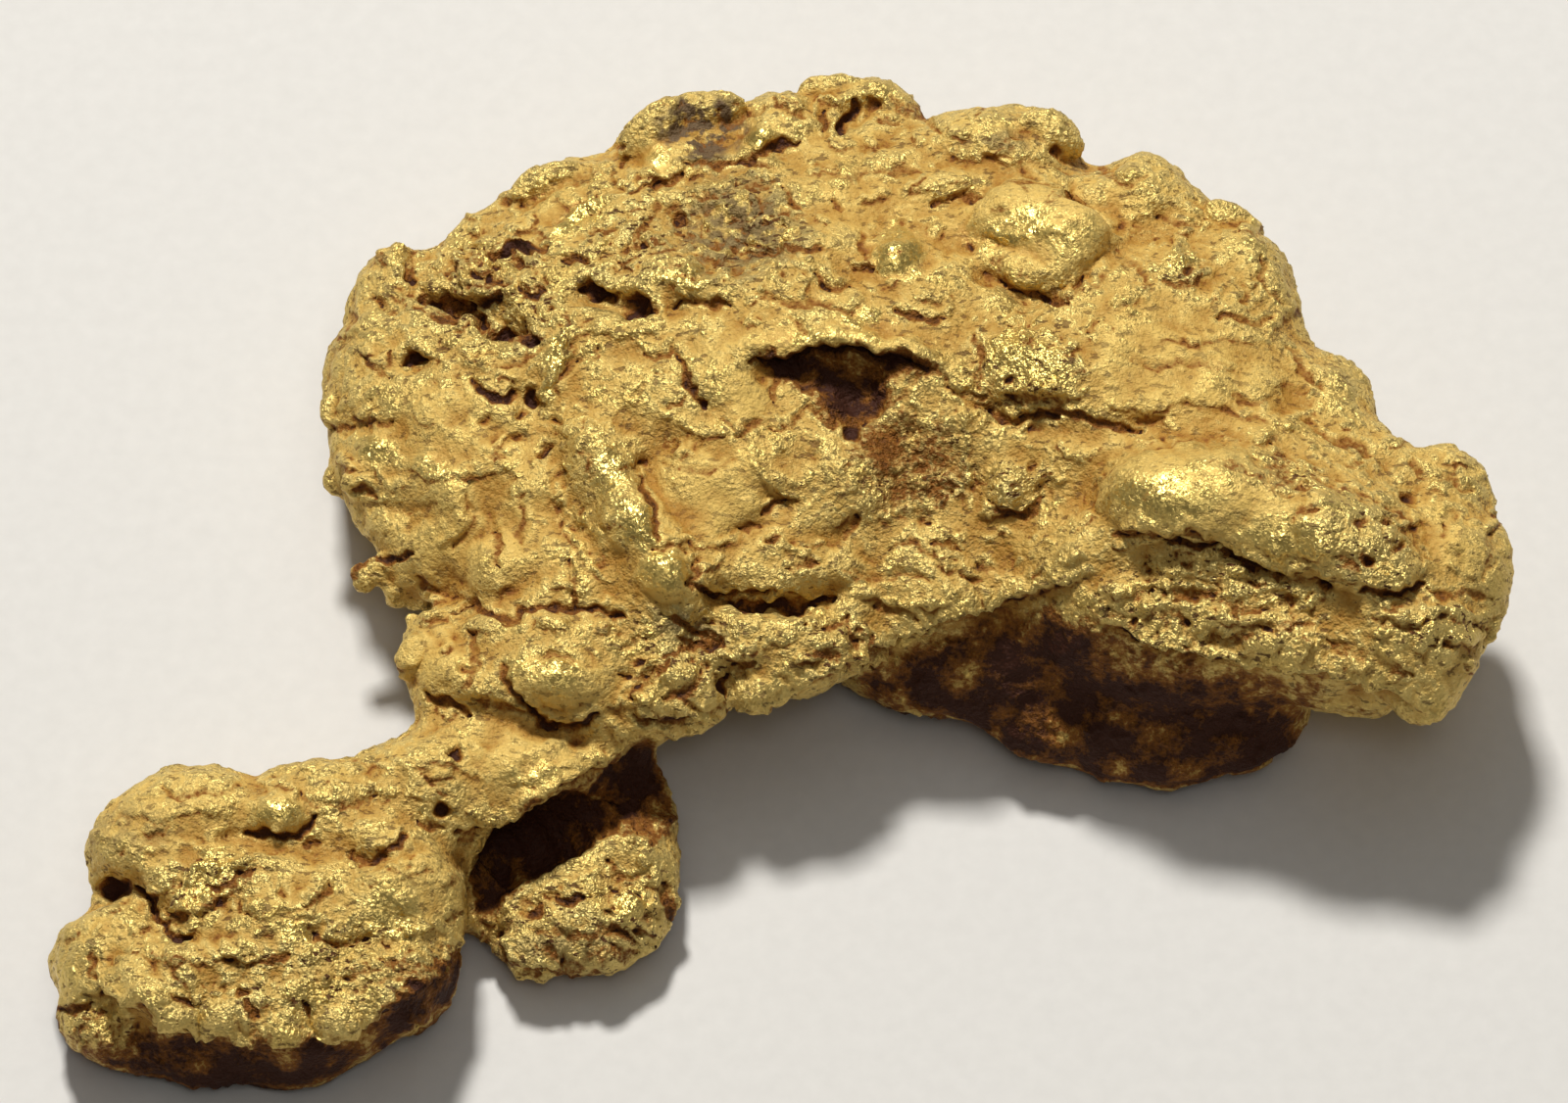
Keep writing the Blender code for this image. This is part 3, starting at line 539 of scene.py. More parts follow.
# Folds of the skin that lap over what is below them: the spots that their edge runs
# through, the width of the ramp up to it and its rise in mm. The skin drops on the
# right-hand side of the way along the edge.
LEDGES = {
    "outer_fold": ([(462, 262), (473, 279), (483, 294), (499, 303), (516, 301), (528, 286)], 1.0, 0.5),
    "inner_fold": ([(480, 262), (488, 276), (499, 282), (514, 276)], 0.7, 0.36),
    "middle_fold": ([(470, 262), (478, 280), (492, 292), (508, 291), (520, 280)], 0.6, 0.3),
    "fold_cavity_roof": ([(424, 303), (445, 298), (470, 303), (498, 311)], 1.4, 0.24),
    "pocket_roof": ([(584, 290), (600, 286), (616, 290), (633, 299)], 1.4, 0.24),
    "pocket_roof_right": ([(634, 306), (650, 303), (664, 308), (676, 318)], 1.3, 0.24),
    "tear_roof": ([(408, 372), (412, 360), (424, 356), (438, 362)], 1.1, 0.21),
    "slab_front": ([(560, 330), (600, 338), (640, 342), (690, 336)], 2.4, 0.21),
    "left_terrace": ([(400, 470), (430, 484), (462, 488), (500, 480), (540, 486)], 2.4, 0.21),
    "left_terrace_low": ([(420, 640), (450, 628), (470, 640)], 1.4, 0.21),
    "long_drape": ([(562, 486), (570, 511), (578, 542), (590, 560), (608, 588), (634, 597)], 1.6, 0.24),
    "crown_ledge": ([(796, 106), (809, 112), (824, 108)], 1.0, 0.24),
    "crown_slab": ([(874, 208), (892, 204), (912, 194)], 1.4, 0.24),
    "crown_plate": ([(652, 178), (668, 182), (690, 178), (700, 164)], 1.4, 0.27),
    "crown_front": ([(690, 252), (730, 262), (780, 256), (820, 250), (862, 254)], 2.2, 0.24),
    "crown_back_step": ([(958, 152), (990, 160), (1030, 158), (1080, 168)], 1.8, 0.24),
    "boss_front": ([(1004, 262), (1024, 282), (1052, 294), (1090, 300), (1118, 288),
                    (1138, 258)], 1.6, 0.3),
    "shoulder_ledge": ([(1130, 309), (1150, 310), (1168, 303)], 1.4, 0.24),
    "flank_terrace": ([(1172, 340), (1210, 348), (1260, 344), (1300, 352)], 2.4, 0.1),
    "glitter_front": ([(1012, 408), (1050, 400), (1090, 404), (1116, 396)], 1.8, 0.24),
    "shelf_front": ([(1120, 412), (1170, 418), (1220, 410), (1280, 424), (1330, 440)], 2.4, 0.12),
    "brow_front": ([(756, 364), (790, 366), (823, 356), (859, 351), (894, 361), (930, 361),
                    (966, 382)], 1.2, 0.3),
    "plate_front": ([(652, 556), (690, 552), (730, 556), (768, 548)], 1.8, 0.21),
    "plate_top": ([(690, 436), (720, 442), (746, 444)], 1.6, 0.18),
    "boss_front_right": ([(1140, 541), (1183, 541), (1222, 539), (1244, 552), (1272, 562),
                          (1300, 580)], 1.6, 0.27),
    "second_boss_front": ([(1284, 576), (1320, 586), (1352, 588), (1380, 598)], 1.4, 0.16),
    "patch_front": ([(1384, 596), (1416, 600), (1450, 596)], 1.2, 0.24),
    "wall_ledge": ([(1120, 600), (1150, 606), (1180, 598), (1220, 600)], 1.6, 0.24),
    "wall_ledge_right": ([(1226, 628), (1262, 632), (1300, 640), (1340, 634)], 1.6, 0.24),
    "tip_front": ([(1404, 626), (1440, 634), (1480, 628), (1516, 640)], 1.6, 0.24),
    "basin_lump_front": ([(1012, 514), (1036, 522), (1060, 512)], 1.2, 0.21),
    "lip_upper_front": ([(860, 604), (900, 612), (944, 616), (980, 604)], 1.8, 0.21),
    "throat": ([(960, 378), (930, 366), (894, 362), (859, 354), (823, 359), (790, 370),
                (768, 367)], 2.2, -0.9),
    "toe_brink": ([(72, 1016), (110, 1010), (150, 1022), (196, 1046), (240, 1052), (290, 1060),
                   (345, 1050), (400, 1022), (450, 978), (482, 938)], 3.6, 1.0),
    "heel_brink": ([(500, 972), (550, 990), (610, 994), (655, 984), (688, 952)], 3.0, 0.9),
    "lip_brink": ([(636, 740), (700, 744), (760, 728), (820, 694), (900, 652), (977, 624),
                   (1061, 600), (1126, 584)], 2.6, 0.7),
    "wall_brink": ([(1116, 628), (1180, 652), (1250, 668), (1320, 674), (1400, 692),
                    (1452, 724)], 3.0, 0.9),
    "neck_edge": ([(486, 852), (514, 838), (552, 812), (585, 790), (613, 778), (660, 766)], 1.6, 0.5),
    "cave_roof": ([(702, 592), (730, 600), (760, 602), (786, 596), (815, 604), (850, 610)], 1.4, 0.3),
    "lip_tier_front": ([(636, 708), (660, 716), (690, 726), (732, 724)], 1.2, 0.24),
    "lip_lump_front": ([(742, 714), (768, 716), (794, 704)], 1.2, 0.21),
    "neck_lump_front": ([(519, 700), (545, 724), (570, 736), (600, 734), (622, 722)], 1.8, 0.24),
    "neck_step": ([(412, 786), (440, 776), (470, 784), (500, 796)], 1.8, 0.18),
    "toe_slab": ([(120, 826), (160, 836), (200, 828), (240, 832)], 2.0, 0.18),
    "toe_band_front": ([(176, 930), (198, 936), (216, 924), (240, 906), (262, 890)], 1.2, 0.24),
    "toe_middle": ([(240, 926), (268, 934), (300, 926), (330, 912)], 1.8, 0.18),
    "toe_front_tier": ([(116, 960), (150, 976), (200, 982), (250, 976), (300, 986)], 2.2, 0.18),
    "toe_right_tier": ([(360, 902), (392, 900), (424, 890), (452, 884)], 1.8, 0.21),
    "toe_crack_front": ([(316, 950), (343, 963), (372, 956)], 1.2, 0.18),
    "heel_tab_front": ([(566, 914), (590, 918), (622, 904)], 1.2, 0.24),
    "heel_top_front": ([(630, 900), (654, 904), (680, 896)], 1.2, 0.21),
    "heel_front": ([(510, 966), (550, 974), (600, 972), (650, 962)], 1.4, 0.21),
}

# Lumps (rise above 0) and pits (below 0): middle and half sizes in pixels, turn in degrees
# and rise in mm
LUMPS_AND_PITS = {
    "right_boss_crown": (1200, 500, 88, 54, 0, 1.0),
    "right_boss_middle": (1300, 520, 96, 60, 22, 0.75),
    "right_boss_tail": (1390, 552, 72, 54, 30, 0.8),
    "right_boss_dent": (1308, 488, 26, 16, 15, -0.3),
    "right_boss_dent_low": (1330, 506, 10, 7, 20, -0.3),
    "tail_pit_upper": (1412, 540, 9, 7, 40, -0.36),
    "tail_pit": (1384, 541, 11, 7, 20, -0.36),
    "tail_pit_low": (1394, 573, 17, 6, 30, -0.33),
    "tail_pit_end": (1424, 566, 9, 7, 0, -0.33),
    "tail_crumb": (1430, 584, 14, 10, 30, 0.24),
    "undercut_crumb_left": (1226, 566, 15, 9, 10, 0.36),
    "undercut_crumb_middle": (1262, 581, 16, 9, 15, 0.36),
    "undercut_crumb_right": (1298, 597, 15, 8, 10, 0.33),
    "undercut_pit_left": (1208, 576, 9, 6, 0, -0.33),
    "undercut_pit_right": (1282, 596, 11, 6, 10, -0.36),
    "wall_pit_left": (1229, 604, 10, 6, 0, -0.33),
    "wall_pit_middle": (1316, 612, 12, 7, 10, -0.36),
    "wall_pit_right": (1352, 600, 12, 7, 15, -0.36),
    "wall_pit_low": (1292, 640, 12, 6, 0, -0.3),
    "upper_boss_crown": (1064, 236, 78, 64, 0, 1.3),
    "long_boss": (620, 498, 54, 74, -22, 0.7),
    "glitter_boss": (1052, 376, 56, 42, 0, 0.5),
    "middle_plate": (716, 505, 60, 44, 0, 0.4),
    "shoulder_swell": (1235, 250, 60, 40, 20, 0.4),
    "throat_hollow": (858, 388, 60, 26, 14, -1.1),
    "throat_bottom": (876, 414, 30, 26, 0, -0.9),
    "heel_gap": (566, 850, 96, 34, -28, -2.4),
    "heel_swell": (608, 948, 96, 44, -10, 1.2),
    "toe_swell": (250, 1000, 180, 46, -3, 0.8),
    "drape_swell": (480, 565, 70, 44, 0, 0.7),
    "heel_gap_right": (652, 808, 44, 52, 0, -1.6),
    "heel_gap_left": (508, 890, 26, 46, 12, -1.2),
    "curl_highlight": (496, 264, 10, 7, 0, 0.18),
    "fold_cavity": (461, 311, 35, 12, 14, -1.0),
    "crescent_pit": (513, 341, 17, 7, 10, -0.6),
    "crescent_pit_right": (538, 345, 15, 9, 25, -0.7),
    "crescent_lump": (511, 324, 15, 10, 0, 0.18),
    "button": (539, 286, 12, 9, 0, 0.24),
    "pocket": (608, 298, 24, 11, 18, -0.8),
    "pocket_right": (652, 312, 24, 15, 8, -1.0),
    "tear_hole": (422, 367, 16, 10, -30, -0.7),
    "bright_dot": (426, 293, 7, 6, 0, 0.15),
    "deep_pit": (543, 405, 9, 12, 0, -0.6),
    "slot": (532, 422, 9, 6, 0, -0.27),
    "slot_left": (496, 429, 10, 6, 0, -0.3),
    "slot_right": (569, 429, 9, 6, 0, -0.27),
    "slot_low": (527, 445, 12, 6, 0, -0.3),
    "slab_lump": (616, 254, 10, 8, 0, 0.18),
    "glitter_lump": (703, 274, 14, 10, 0, 0.21),
    "rim_notch_upper": (448, 243, 9, 8, 0, -0.24),
    "rim_notch_slab": (514, 208, 10, 8, 0, -0.24),
    "edge_pit": (630, 151, 8, 7, 0, -0.24),
    "edge_pit_low": (636, 165, 7, 6, 0, -0.21),
    "edge_pit_left": (624, 187, 7, 6, 0, -0.21),
    "edge_pit_right": (651, 184, 7, 6, 0, -0.21),
    "olive_plate": (668, 157, 18, 17, 0, 0.21),
    "highlight_boss": (776, 138, 18, 11, -10, 0.24),
    "crown_hole": (892, 107, 10, 9, 0, -0.36),
    "small_pit": (921, 228, 7, 6, 0, -0.21),
    "olive_boss": (916, 258, 27, 26, 0, 0.45),
    "round_pit": (842, 291, 8, 7, 0, -0.3),
    "bright_bump": (872, 329, 10, 7, 0, 0.15),
    "bright_bump_right": (893, 323, 9, 7, 0, 0.15),
    "crown_speck_hollow": (686, 212, 12, 9, 0, -0.21),
    "rim_pit": (1079, 152, 9, 8, 0, -0.3),
    "rim_rough": (1018, 146, 18, 9, 0, 0.15),
    "spot_pit": (1211, 277, 8, 7, 0, -0.27),
    "slope_pit": (1270, 303, 8, 7, 0, -0.24),
    "glitter_lump_a": (1028, 352, 20, 16, 0, 0.21),
    "glitter_lump_b": (1072, 372, 24, 16, 0, 0.21),
    "glitter_lump_c": (1034, 392, 20, 12, 0, 0.18),
    "spur_blob": (342, 488, 16, 22, 0, 0.24),
    "side_knob": (395, 540, 25, 22, 0, 0.24),
    "side_nub": (398, 603, 13, 11, 0, 0.24),
    "red_pit": (553, 460, 10, 7, -25, -0.36),
    "basin_pit_left": (657, 473, 9, 8, 0, -0.3),
    "left_boss": (675, 588, 28, 26, 0, 0.45),
    "foot_knob": (440, 673, 34, 30, 0, 0.45),
    "foot_pit": (473, 684, 9, 8, 0, -0.3),
    "big_lump": (565, 697, 50, 26, 0, 0.5),
    "lip_knob": (694, 690, 20, 15, 0, 0.24),
    "side_highlight": (379, 457, 14, 10, 0, 0.15),
    "side_highlight_right": (437, 474, 13, 9, 0, 0.15),
    "smooth_tab": (764, 404, 25, 24, 0, 0.21),
    "basin_round_pit": (871, 440, 13, 12, 0, -0.48),
    "pale_knob": (845, 470, 14, 24, 0, 0.21),
    "floor_hollow": (930, 444, 34, 16, 0, -0.21),
    "step_lump": (992, 422, 11, 9, 0, 0.21),
    "basin_lump": (1037, 495, 25, 21, 0, 0.3),
    "pocket_red": (789, 552, 13, 7, 0, -0.36),
    "cave": (786, 616, 52, 9, 0, -0.36),
    "cave_tooth": (790, 606, 13, 9, -10, 0.45),
    "cave_left_pit": (709, 593, 9, 8, 0, -0.3),
    "brow_slit_pit": (712, 570, 8, 6, 0, -0.24),
    "boss_highlight": (1192, 512, 26, 12, 0, 0.18),
    "boss_highlight_right": (1310, 556, 20, 12, 10, 0.18),
    "boss_bump": (1344, 520, 14, 10, 20, 0.15),
    "boss_bump_end": (1395, 530, 14, 10, 20, 0.15),
    "patch_lump": (1384, 560, 22, 14, 10, 0.18),
    "wall_lump_left": (1139, 604, 22, 12, 0, 0.24),
    "wall_lump_middle": (1206, 582, 22, 11, 0, 0.24),
    "wall_lump_right": (1262, 604, 18, 11, 0, 0.24),
    "wall_lump_low": (1236, 633, 30, 11, 0, 0.21),
    "wall_lump_far": (1293, 653, 20, 9, 0, 0.18),
    "wall_hollow": (1212, 608, 22, 8, 0, -0.24),
    "tip_ring_pit": (1437, 508, 10, 9, 0, -0.33),
    "tip_crumb": (1462, 640, 16, 12, 0, 0.21),
    "tip_crumb_right": (1500, 650, 14, 11, 0, 0.21),
    "tip_hollow": (1424, 622, 16, 9, 0, -0.24),
    "lip_pit": (726, 659, 14, 10, -20, -0.48),
    "lip_lump": (662, 684, 20, 12, -25, 0.21),
    "lip_end_lump": (768, 703, 24, 12, -10, 0.24),
    "lip_low_lump": (663, 747, 30, 11, -5, 0.24),
    "lip_nub": (874, 672, 10, 12, 0, 0.3),
    "lip_nub_pit": (868, 655, 8, 8, 0, -0.3),
    "neck_hole": (463, 771, 9, 9, 0, -0.42),
    "toe_hole": (452, 827, 11, 10, 0, -0.45),
    "neck_bump": (519, 786, 14, 9, 0, 0.15),
    "neck_bump_right": (552, 804, 14, 9, -15, 0.15),
    "neck_nub": (494, 878, 8, 8, 0, 0.24),
    "toe_nub": (281, 829, 34, 18, 0, 0.5),
    "toe_knot": (220, 850, 13, 8, -10, 0.18),
    "toe_far_nub": (380, 864, 17, 9, 0, 0.21),
    "toe_highlight": (415, 921, 16, 13, 0, 0.18),
    "toe_highlight_low": (394, 948, 18, 16, 0, 0.18),
    "toe_notch": (116, 907, 24, 12, -10, -0.6),
    "toe_notch_rim": (104, 895, 14, 8, -15, 0.21),
    "toe_notch_lump": (138, 918, 9, 9, 0, 0.21),
    "toe_band_a": (187, 924, 12, 14, 0, 0.21),
    "toe_band_b": (212, 888, 16, 10, 0, 0.21),
    "toe_band_c": (250, 884, 14, 8, 0, 0.18),
    "toe_crumb": (265, 922, 10, 7, 0, 0.18),
    "toe_crumb_right": (327, 897, 9, 10, 20, 0.18),
    "toe_glitter": (300, 951, 16, 10, 0, 0.18),
    "toe_pit": (286, 912, 6, 6, 0, -0.18),
    "edge_lump_left": (189, 1034, 15, 11, 20, 0.3),
    "edge_lump_middle": (234, 1036, 27, 13, 5, 0.27),
    "edge_lump_right": (285, 1046, 25, 13, 0, 0.27),
    "edge_lump_far": (346, 1040, 24, 11, -15, 0.24),
    "side_tier": (64, 1000, 16, 22, 0, 0.24),
    "outer_foot": (104, 1054, 30, 13, 40, 0.24),
    "heel_tab": (592, 903, 26, 12, -22, 0.24),
    "heel_crown": (655, 872, 16, 20, 0, 0.21),
    "heel_bright": (642, 928, 14, 12, 0, 0.18),
    "heel_end_lump": (520, 942, 20, 12, -20, 0.21),
    "heel_side_lump": (686, 934, 10, 18, 0, 0.24),
    "heel_low_pit": (541, 982, 12, 7, 0, -0.24),
}

# Nodules that stand off the outline: middle and half sizes in pixels and turn in degrees
NODULES = {
    "left_spur": (343, 491, 14, 15, 8),
    "left_rim": (338, 420, 11, 18, 0),
    "lower_spur": (371, 590, 15, 17, 0),
    "lower_spur_arm": (390, 582, 24, 17, -20),
    "foot_knob": (420, 672, 17, 26, 0),
    "foot_crumb": (420, 632, 9, 7, 0),
    "crown_left": (664, 136, 42, 26, -46),
    "slab_back": (556, 188, 42, 18, -30),
    "crown_crumb": (716, 112, 48, 18, -4),
    "crown_top": (850, 90, 38, 16, -6),
    "crown_right": (1072, 136, 36, 20, 30),
    "flank_step": (1258, 224, 32, 16, 34),
    "tip_low": (1520, 642, 9, 15, 14),
    "toe_foot": (92, 1052, 26, 10, 40),
}

# Patches of the skin: middle and half sizes in pixels, turn in degrees and strength. Clay-and-shade
# patches are painted dark: red-brown iron clay on the basin floor and partly in the throat, painted
# shade on the shadowed front walls and in the throat, and a painted shadow in the heel gap. Smooth
# ones have little relief, rough ones are crumbly, stained ones are grey-brown, and polished ones
# were burnished by the stream.
CLAY_AND_SHADE_PATCHES = {
    # Iron clay with painted shade in the throat under the brow
    "throat_left": (822, 382, 46, 15, 22, 0.9),
    "throat_middle": (868, 398, 38, 32, 0, 0.74),
    "throat_right": (925, 371, 36, 8, 12, 0.7),
    "basin_floor": (925, 470, 64, 54, 0, 0.42),
    # Painted shadow in the gap under the neck
    "heel_gap": (566, 848, 92, 30, -28, 0.95),
    "heel_gap_right": (655, 806, 40, 50, 0, 0.9),
    "heel_gap_left": (500, 900, 18, 50, 8, 0.8),
    # Painted shade on the front walls that face away from the key light
    "wall_left": (1010, 700, 150, 62, -12, 0.84),
    "wall_middle": (1180, 758, 240, 82, 8, 0.84),
    "toe_wall": (230, 1088, 200, 34, 0, 0.84),
    "toe_wall_right": (440, 1014, 90, 26, -42, 0.85),
}
SMOOTH_PATCHES = {
    "upper_boss": (1052, 236, 84, 44, 4, 1.0),
    "right_boss": (1235, 502, 108, 44, 12, 1.0),
    "right_boss_end": (1345, 545, 50, 26, 20, 0.7),
    "plate": (716, 508, 68, 48, 0, 0.9),
    "drape": (480, 545, 70, 60, 0, 0.8),
    "lip_lump": (566, 696, 56, 26, 0, 0.8),
    "brow": (850, 346, 108, 14, 0, 0.9),
    "olive_boss": (916, 259, 28, 27, 0, 1.0),
    "shelf": (1205, 375, 110, 58, 8, 0.8),
    "slab": (570, 235, 56, 36, -25, 0.6),
    "neck": (540, 768, 90, 44, -10, 0.7),
    "toe_back": (190, 838, 90, 36, 0, 0.6),
    "left_boss": (676, 588, 30, 28, 0, 1.0),
    "tab": (764, 404, 28, 28, 0, 1.0),
    "foot_knob": (440, 674, 40, 34, 0, 0.7),
    "toe_nub": (281, 829, 34, 16, 0, 1.0),
    "left_face": (470, 440, 70, 36, 10, 0.5),
    "tip": (1470, 560, 60, 40, 20, 0.7),
    "crown_plate": (668, 158, 20, 18, 0, 1.0),
    "crown_boss": (776, 138, 20, 12, -10, 1.0),
    "toe_right": (425, 905, 46, 46, 0, 0.5),
    "upper_middle": (880, 210, 60, 26, 0, 0.5),
}
ROUGH_PATCHES = {
    "grey_pocket": (752, 228, 64, 50, 0, 1.0),
    "basin_floor": (932, 478, 58, 46, 0, 1.0),
    "glitter_lump": (1052, 376, 58, 44, 0, 1.0),
    "rough_spot": (1203, 276, 24, 12, 0, 1.0),
    "toe_band": (216, 904, 50, 32, -20, 0.9),
    "toe_front": (330, 990, 120, 40, -8, 0.9),
    "arm_patch": (1396, 560, 54, 36, 30, 1.1),
    "boss_dent": (1310, 490, 34, 22, 20, 1.1),
    "undercut": (1250, 582, 84, 22, 16, 1.1),
    "tip_patch": (1465, 640, 40, 24, 0, 1.0),
    "lip_patch": (700, 655, 60, 30, 10, 1.0),
    "lip_right": (850, 660, 44, 26, 0, 0.9),
    "basin_lump": (1037, 496, 28, 26, 0, 0.9),
    "heel": (600, 940, 100, 42, -8, 0.9),
    "wall": (1220, 625, 120, 44, 8, 0.7),
    "outer_foot": (115, 1055, 50, 22, 35, 1.0),
    "upper_left_folds": (510, 300, 90, 60, 0, 1.0),
    "slab_crumbs": (632, 240, 46, 50, 0, 0.9),
}
STAINED_PATCHES = {
    "crown_stain": (716, 132, 36, 29, 0, 1.8),
    "grey_pocket": (752, 232, 60, 48, 0, 0.8),
    "basin_floor": (930, 480, 56, 44, 0, 0.2),
    "lip_grey": (700, 640, 36, 16, 20, 0.7),
    "rim_grey": (1020, 146, 34, 12, 0, 0.5),
    "toe_corner": (130, 850, 40, 24, 0, 0.35),
    "heel_rust": (575, 958, 46, 14, 0, 0.45),
}
POLISHED_PATCHES = {
    "olive_boss": (916, 259, 26, 25, 0, 1.0),
    "olive_plate": (668, 158, 18, 17, 0, 1.0),
    "crown_boss": (776, 138, 18, 11, -10, 1.0),
    "upper_boss": (1050, 244, 60, 22, 4, 0.9),
    "right_boss": (1192, 510, 50, 20, 4, 0.9),
    "right_boss_end": (1310, 552, 46, 20, 16, 0.7),
    "left_boss": (676, 586, 26, 22, 0, 1.0),
    "shiny_ridge": (588, 220, 30, 12, -38, 0.9),
    "toe_nub": (281, 829, 26, 10, 0, 1.0),
    "toe_highlight": (404, 934, 28, 22, 30, 0.7),
    "toe_side": (62, 1000, 16, 20, 0, 0.8),
    "ridge_top": (624, 484, 16, 24, -20, 0.7),
    "brow": (858, 344, 80, 9, 0, 0.6),
    "curl": (496, 266, 12, 8, 0, 0.9),
    "glitter_fold": (700, 282, 34, 10, 0, 0.7),
    "left_rim": (382, 459, 24, 16, 20, 0.8),
    "left_face": (440, 478, 30, 15, 10, 0.6),
    "ridge_foot": (652, 540, 15, 26, -30, 0.9),
    "fold_streak": (568, 364, 9, 36, 10, 0.8),
    "bright_bumps": (882, 327, 28, 10, 0, 0.8),
    "glitter_lump": (1050, 372, 44, 32, 0, 0.6),
    "toe_band": (210, 900, 40, 20, -20, 0.6),
    "toe_spot": (300, 951, 16, 10, 0, 0.8),
    "heel_bright": (642, 926, 16, 16, 0, 0.7),
    "lip_lump": (560, 688, 40, 18, 0, 0.5),
    "neck_bump": (535, 795, 34, 12, -15, 0.6),
    "right_boss_back": (1250, 478, 60, 22, 5, 0.5),
    "right_boss_tail": (1366, 516, 24, 14, 25, 0.8),
    "tip_low": (1480, 640, 36, 16, 0, 0.5),
    "flank_bump": (1200, 268, 20, 12, 0, 0.6),
}


def keep_result(obj):
    """Turns what the object's modifiers make into its own mesh, and removes them."""
    graph = bpy.context.evaluated_depsgraph_get()
    finished = obj.evaluated_get(graph)
    mesh = bpy.data.meshes.new_from_object(finished, preserve_all_data_layers=True, depsgraph=graph)
    obj.modifiers.clear()
    obj.data = mesh


def even_out(obj, smoothing):
    """Meshes the form anew with even triangles and smooths it this many times."""
    even = obj.modifiers.new("even mesh", "REMESH")
    even.mode = "VOXEL"
    even.voxel_size = SKIN_VOXEL
    soften = obj.modifiers.new("soften facets", "SMOOTH")
    soften.factor = SMOOTHING_FACTOR
    soften.iterations = smoothing
    keep_result(obj)


def fine_skin(node):
    """A fine, even mesh on the node's own form, with its facets smoothed away and the
    nodules grown on."""
    bm = bmesh.new()
    bm.from_mesh(node.data)
    bmesh.ops.remove_doubles(bm, verts=bm.verts, dist=DOUBLES_APART)
    mesh = bpy.data.meshes.new("nugget_skin")
    bm.to_mesh(mesh)
    bm.free()
    skin = bpy.data.objects.new("nugget_skin", mesh)
    bpy.context.scene.collection.objects.link(skin)
    even_out(skin, FACET_SMOOTHING)
    bm = bmesh.new()
    bm.from_mesh(skin.data)
    tree = BVHTree.FromBMesh(bm)
    for nodule in NODULES.values():
        add_nodule(bm, tree, *nodule)
    bm.to_mesh(skin.data)
    bm.free()
    even_out(skin, NODULE_SMOOTHING)
    return skin


def sight(spot):
    """The line from the eye through a spot of the view, one metre deep along its axis."""
    across = (spot[0] - FRAME_WIDTH / 2) * PIXEL / VIEW_DISTANCE
    down = (spot[1] - FRAME_HEIGHT / 2) * PIXEL / VIEW_DISTANCE
    return AHEAD + RIGHT * across - UP * down


def add_nodule(bm, tree, x, y, half_length, half_height, turn):
    """A small ellipsoid at a spot of the view, as deep as the skin's nearest spot inward."""
    spot = Vector((x, y))
    middle = Vector((FRAME_WIDTH / 2, FRAME_HEIGHT / 2))
    for step in range(NODULE_STEPS):
        inward = step / NODULE_STEPS * NODULE_INWARD
        hit = tree.ray_cast(EYE, sight(spot.lerp(middle, inward)))[0]
        if hit is not None:
            break
    place = EYE + sight(spot) * (hit - EYE).dot(AHEAD)
    facing = Matrix((RIGHT, UP, -AHEAD)).transposed().to_4x4()
    turned = facing @ Matrix.Rotation(-math.radians(turn), 4, "Z")
    size = Vector((half_length, half_height, NODULE_DEPTH * min(half_length, half_height))) * PIXEL
    bmesh.ops.create_icosphere(bm, subdivisions=NODULE_SUBDIVISIONS, radius=1,
                               matrix=Matrix.Translation(place) @ turned @ Matrix.Diagonal(size.to_4d()))


def skin_arrays(mesh):
    """The mesh's points and normals."""
    points = np.empty(len(mesh.vertices) * 3, np.float32)
    mesh.vertices.foreach_get("co", points)
    normals = np.empty(len(mesh.vertices) * 3, np.float32)
    mesh.vertex_normals.foreach_get("vector", normals)
    return points.reshape(-1, 3).astype(float), normals.reshape(-1, 3).astype(float)


def picture_spots(points):
    """Where points show in the frame of the reference view, in pixels."""
    away = points - np.array(EYE)
    depth = away @ np.array(AHEAD)
    scale = VIEW_DISTANCE / PIXEL
    return (FRAME_WIDTH / 2 + away @ np.array(RIGHT) / depth * scale,
            FRAME_HEIGHT / 2 - away @ np.array(UP) / depth * scale)


def seen_share(obj, points, normals):
    """1 where the skin faces the reference view and nothing hides it, down to 0."""
    to_eye = np.array(EYE) - points
    to_eye /= np.linalg.norm(to_eye, axis=1)[:, None]
    share = np.clip((normals * to_eye).sum(axis=1) / SEEN_FULLY, 0, 1)
    tree = BVHTree.FromObject(obj, bpy.context.evaluated_depsgraph_get())
    starts = points + to_eye * SKIN_VOXEL
    for i in np.flatnonzero(share).tolist():
        if tree.ray_cast(starts[i], to_eye[i])[0] is not None:
            share[i] = 0
    edges = np.empty(len(obj.data.edges) * 2, np.int32)
    obj.data.edges.foreach_get("vertices", edges)
    one, other = edges[::2], edges[1::2]
    neighbours = np.bincount(edges, minlength=len(share))
    for _ in range(SEEN_SOFTENING):
        around = np.bincount(one, share[other], len(share)) + np.bincount(other, share[one], len(share))
        share = (share + around) / (1 + neighbours)
    return share


def bent_wave(along, across, length, bent_length, bend):
    """A wave along one direction that is bent by a wave across it."""
    return np.sin(along / length + bend * np.sin(across / bent_length))


def sway(along, across, bent, slanting):
    """A bent wave and a slanting one together."""
    return (bent_wave(along, across, *bent)
            + SLANTING_SHARE * np.sin(along / slanting[0] + across / slanting[1]))


def wavered(x, y):
    """Spots moved a little to and fro, so that no drawn line runs evenly."""
    return x + WAVER * sway(y, x, *WAVES_ACROSS), y + WAVER * sway(x, y, *WAVES_DOWN)


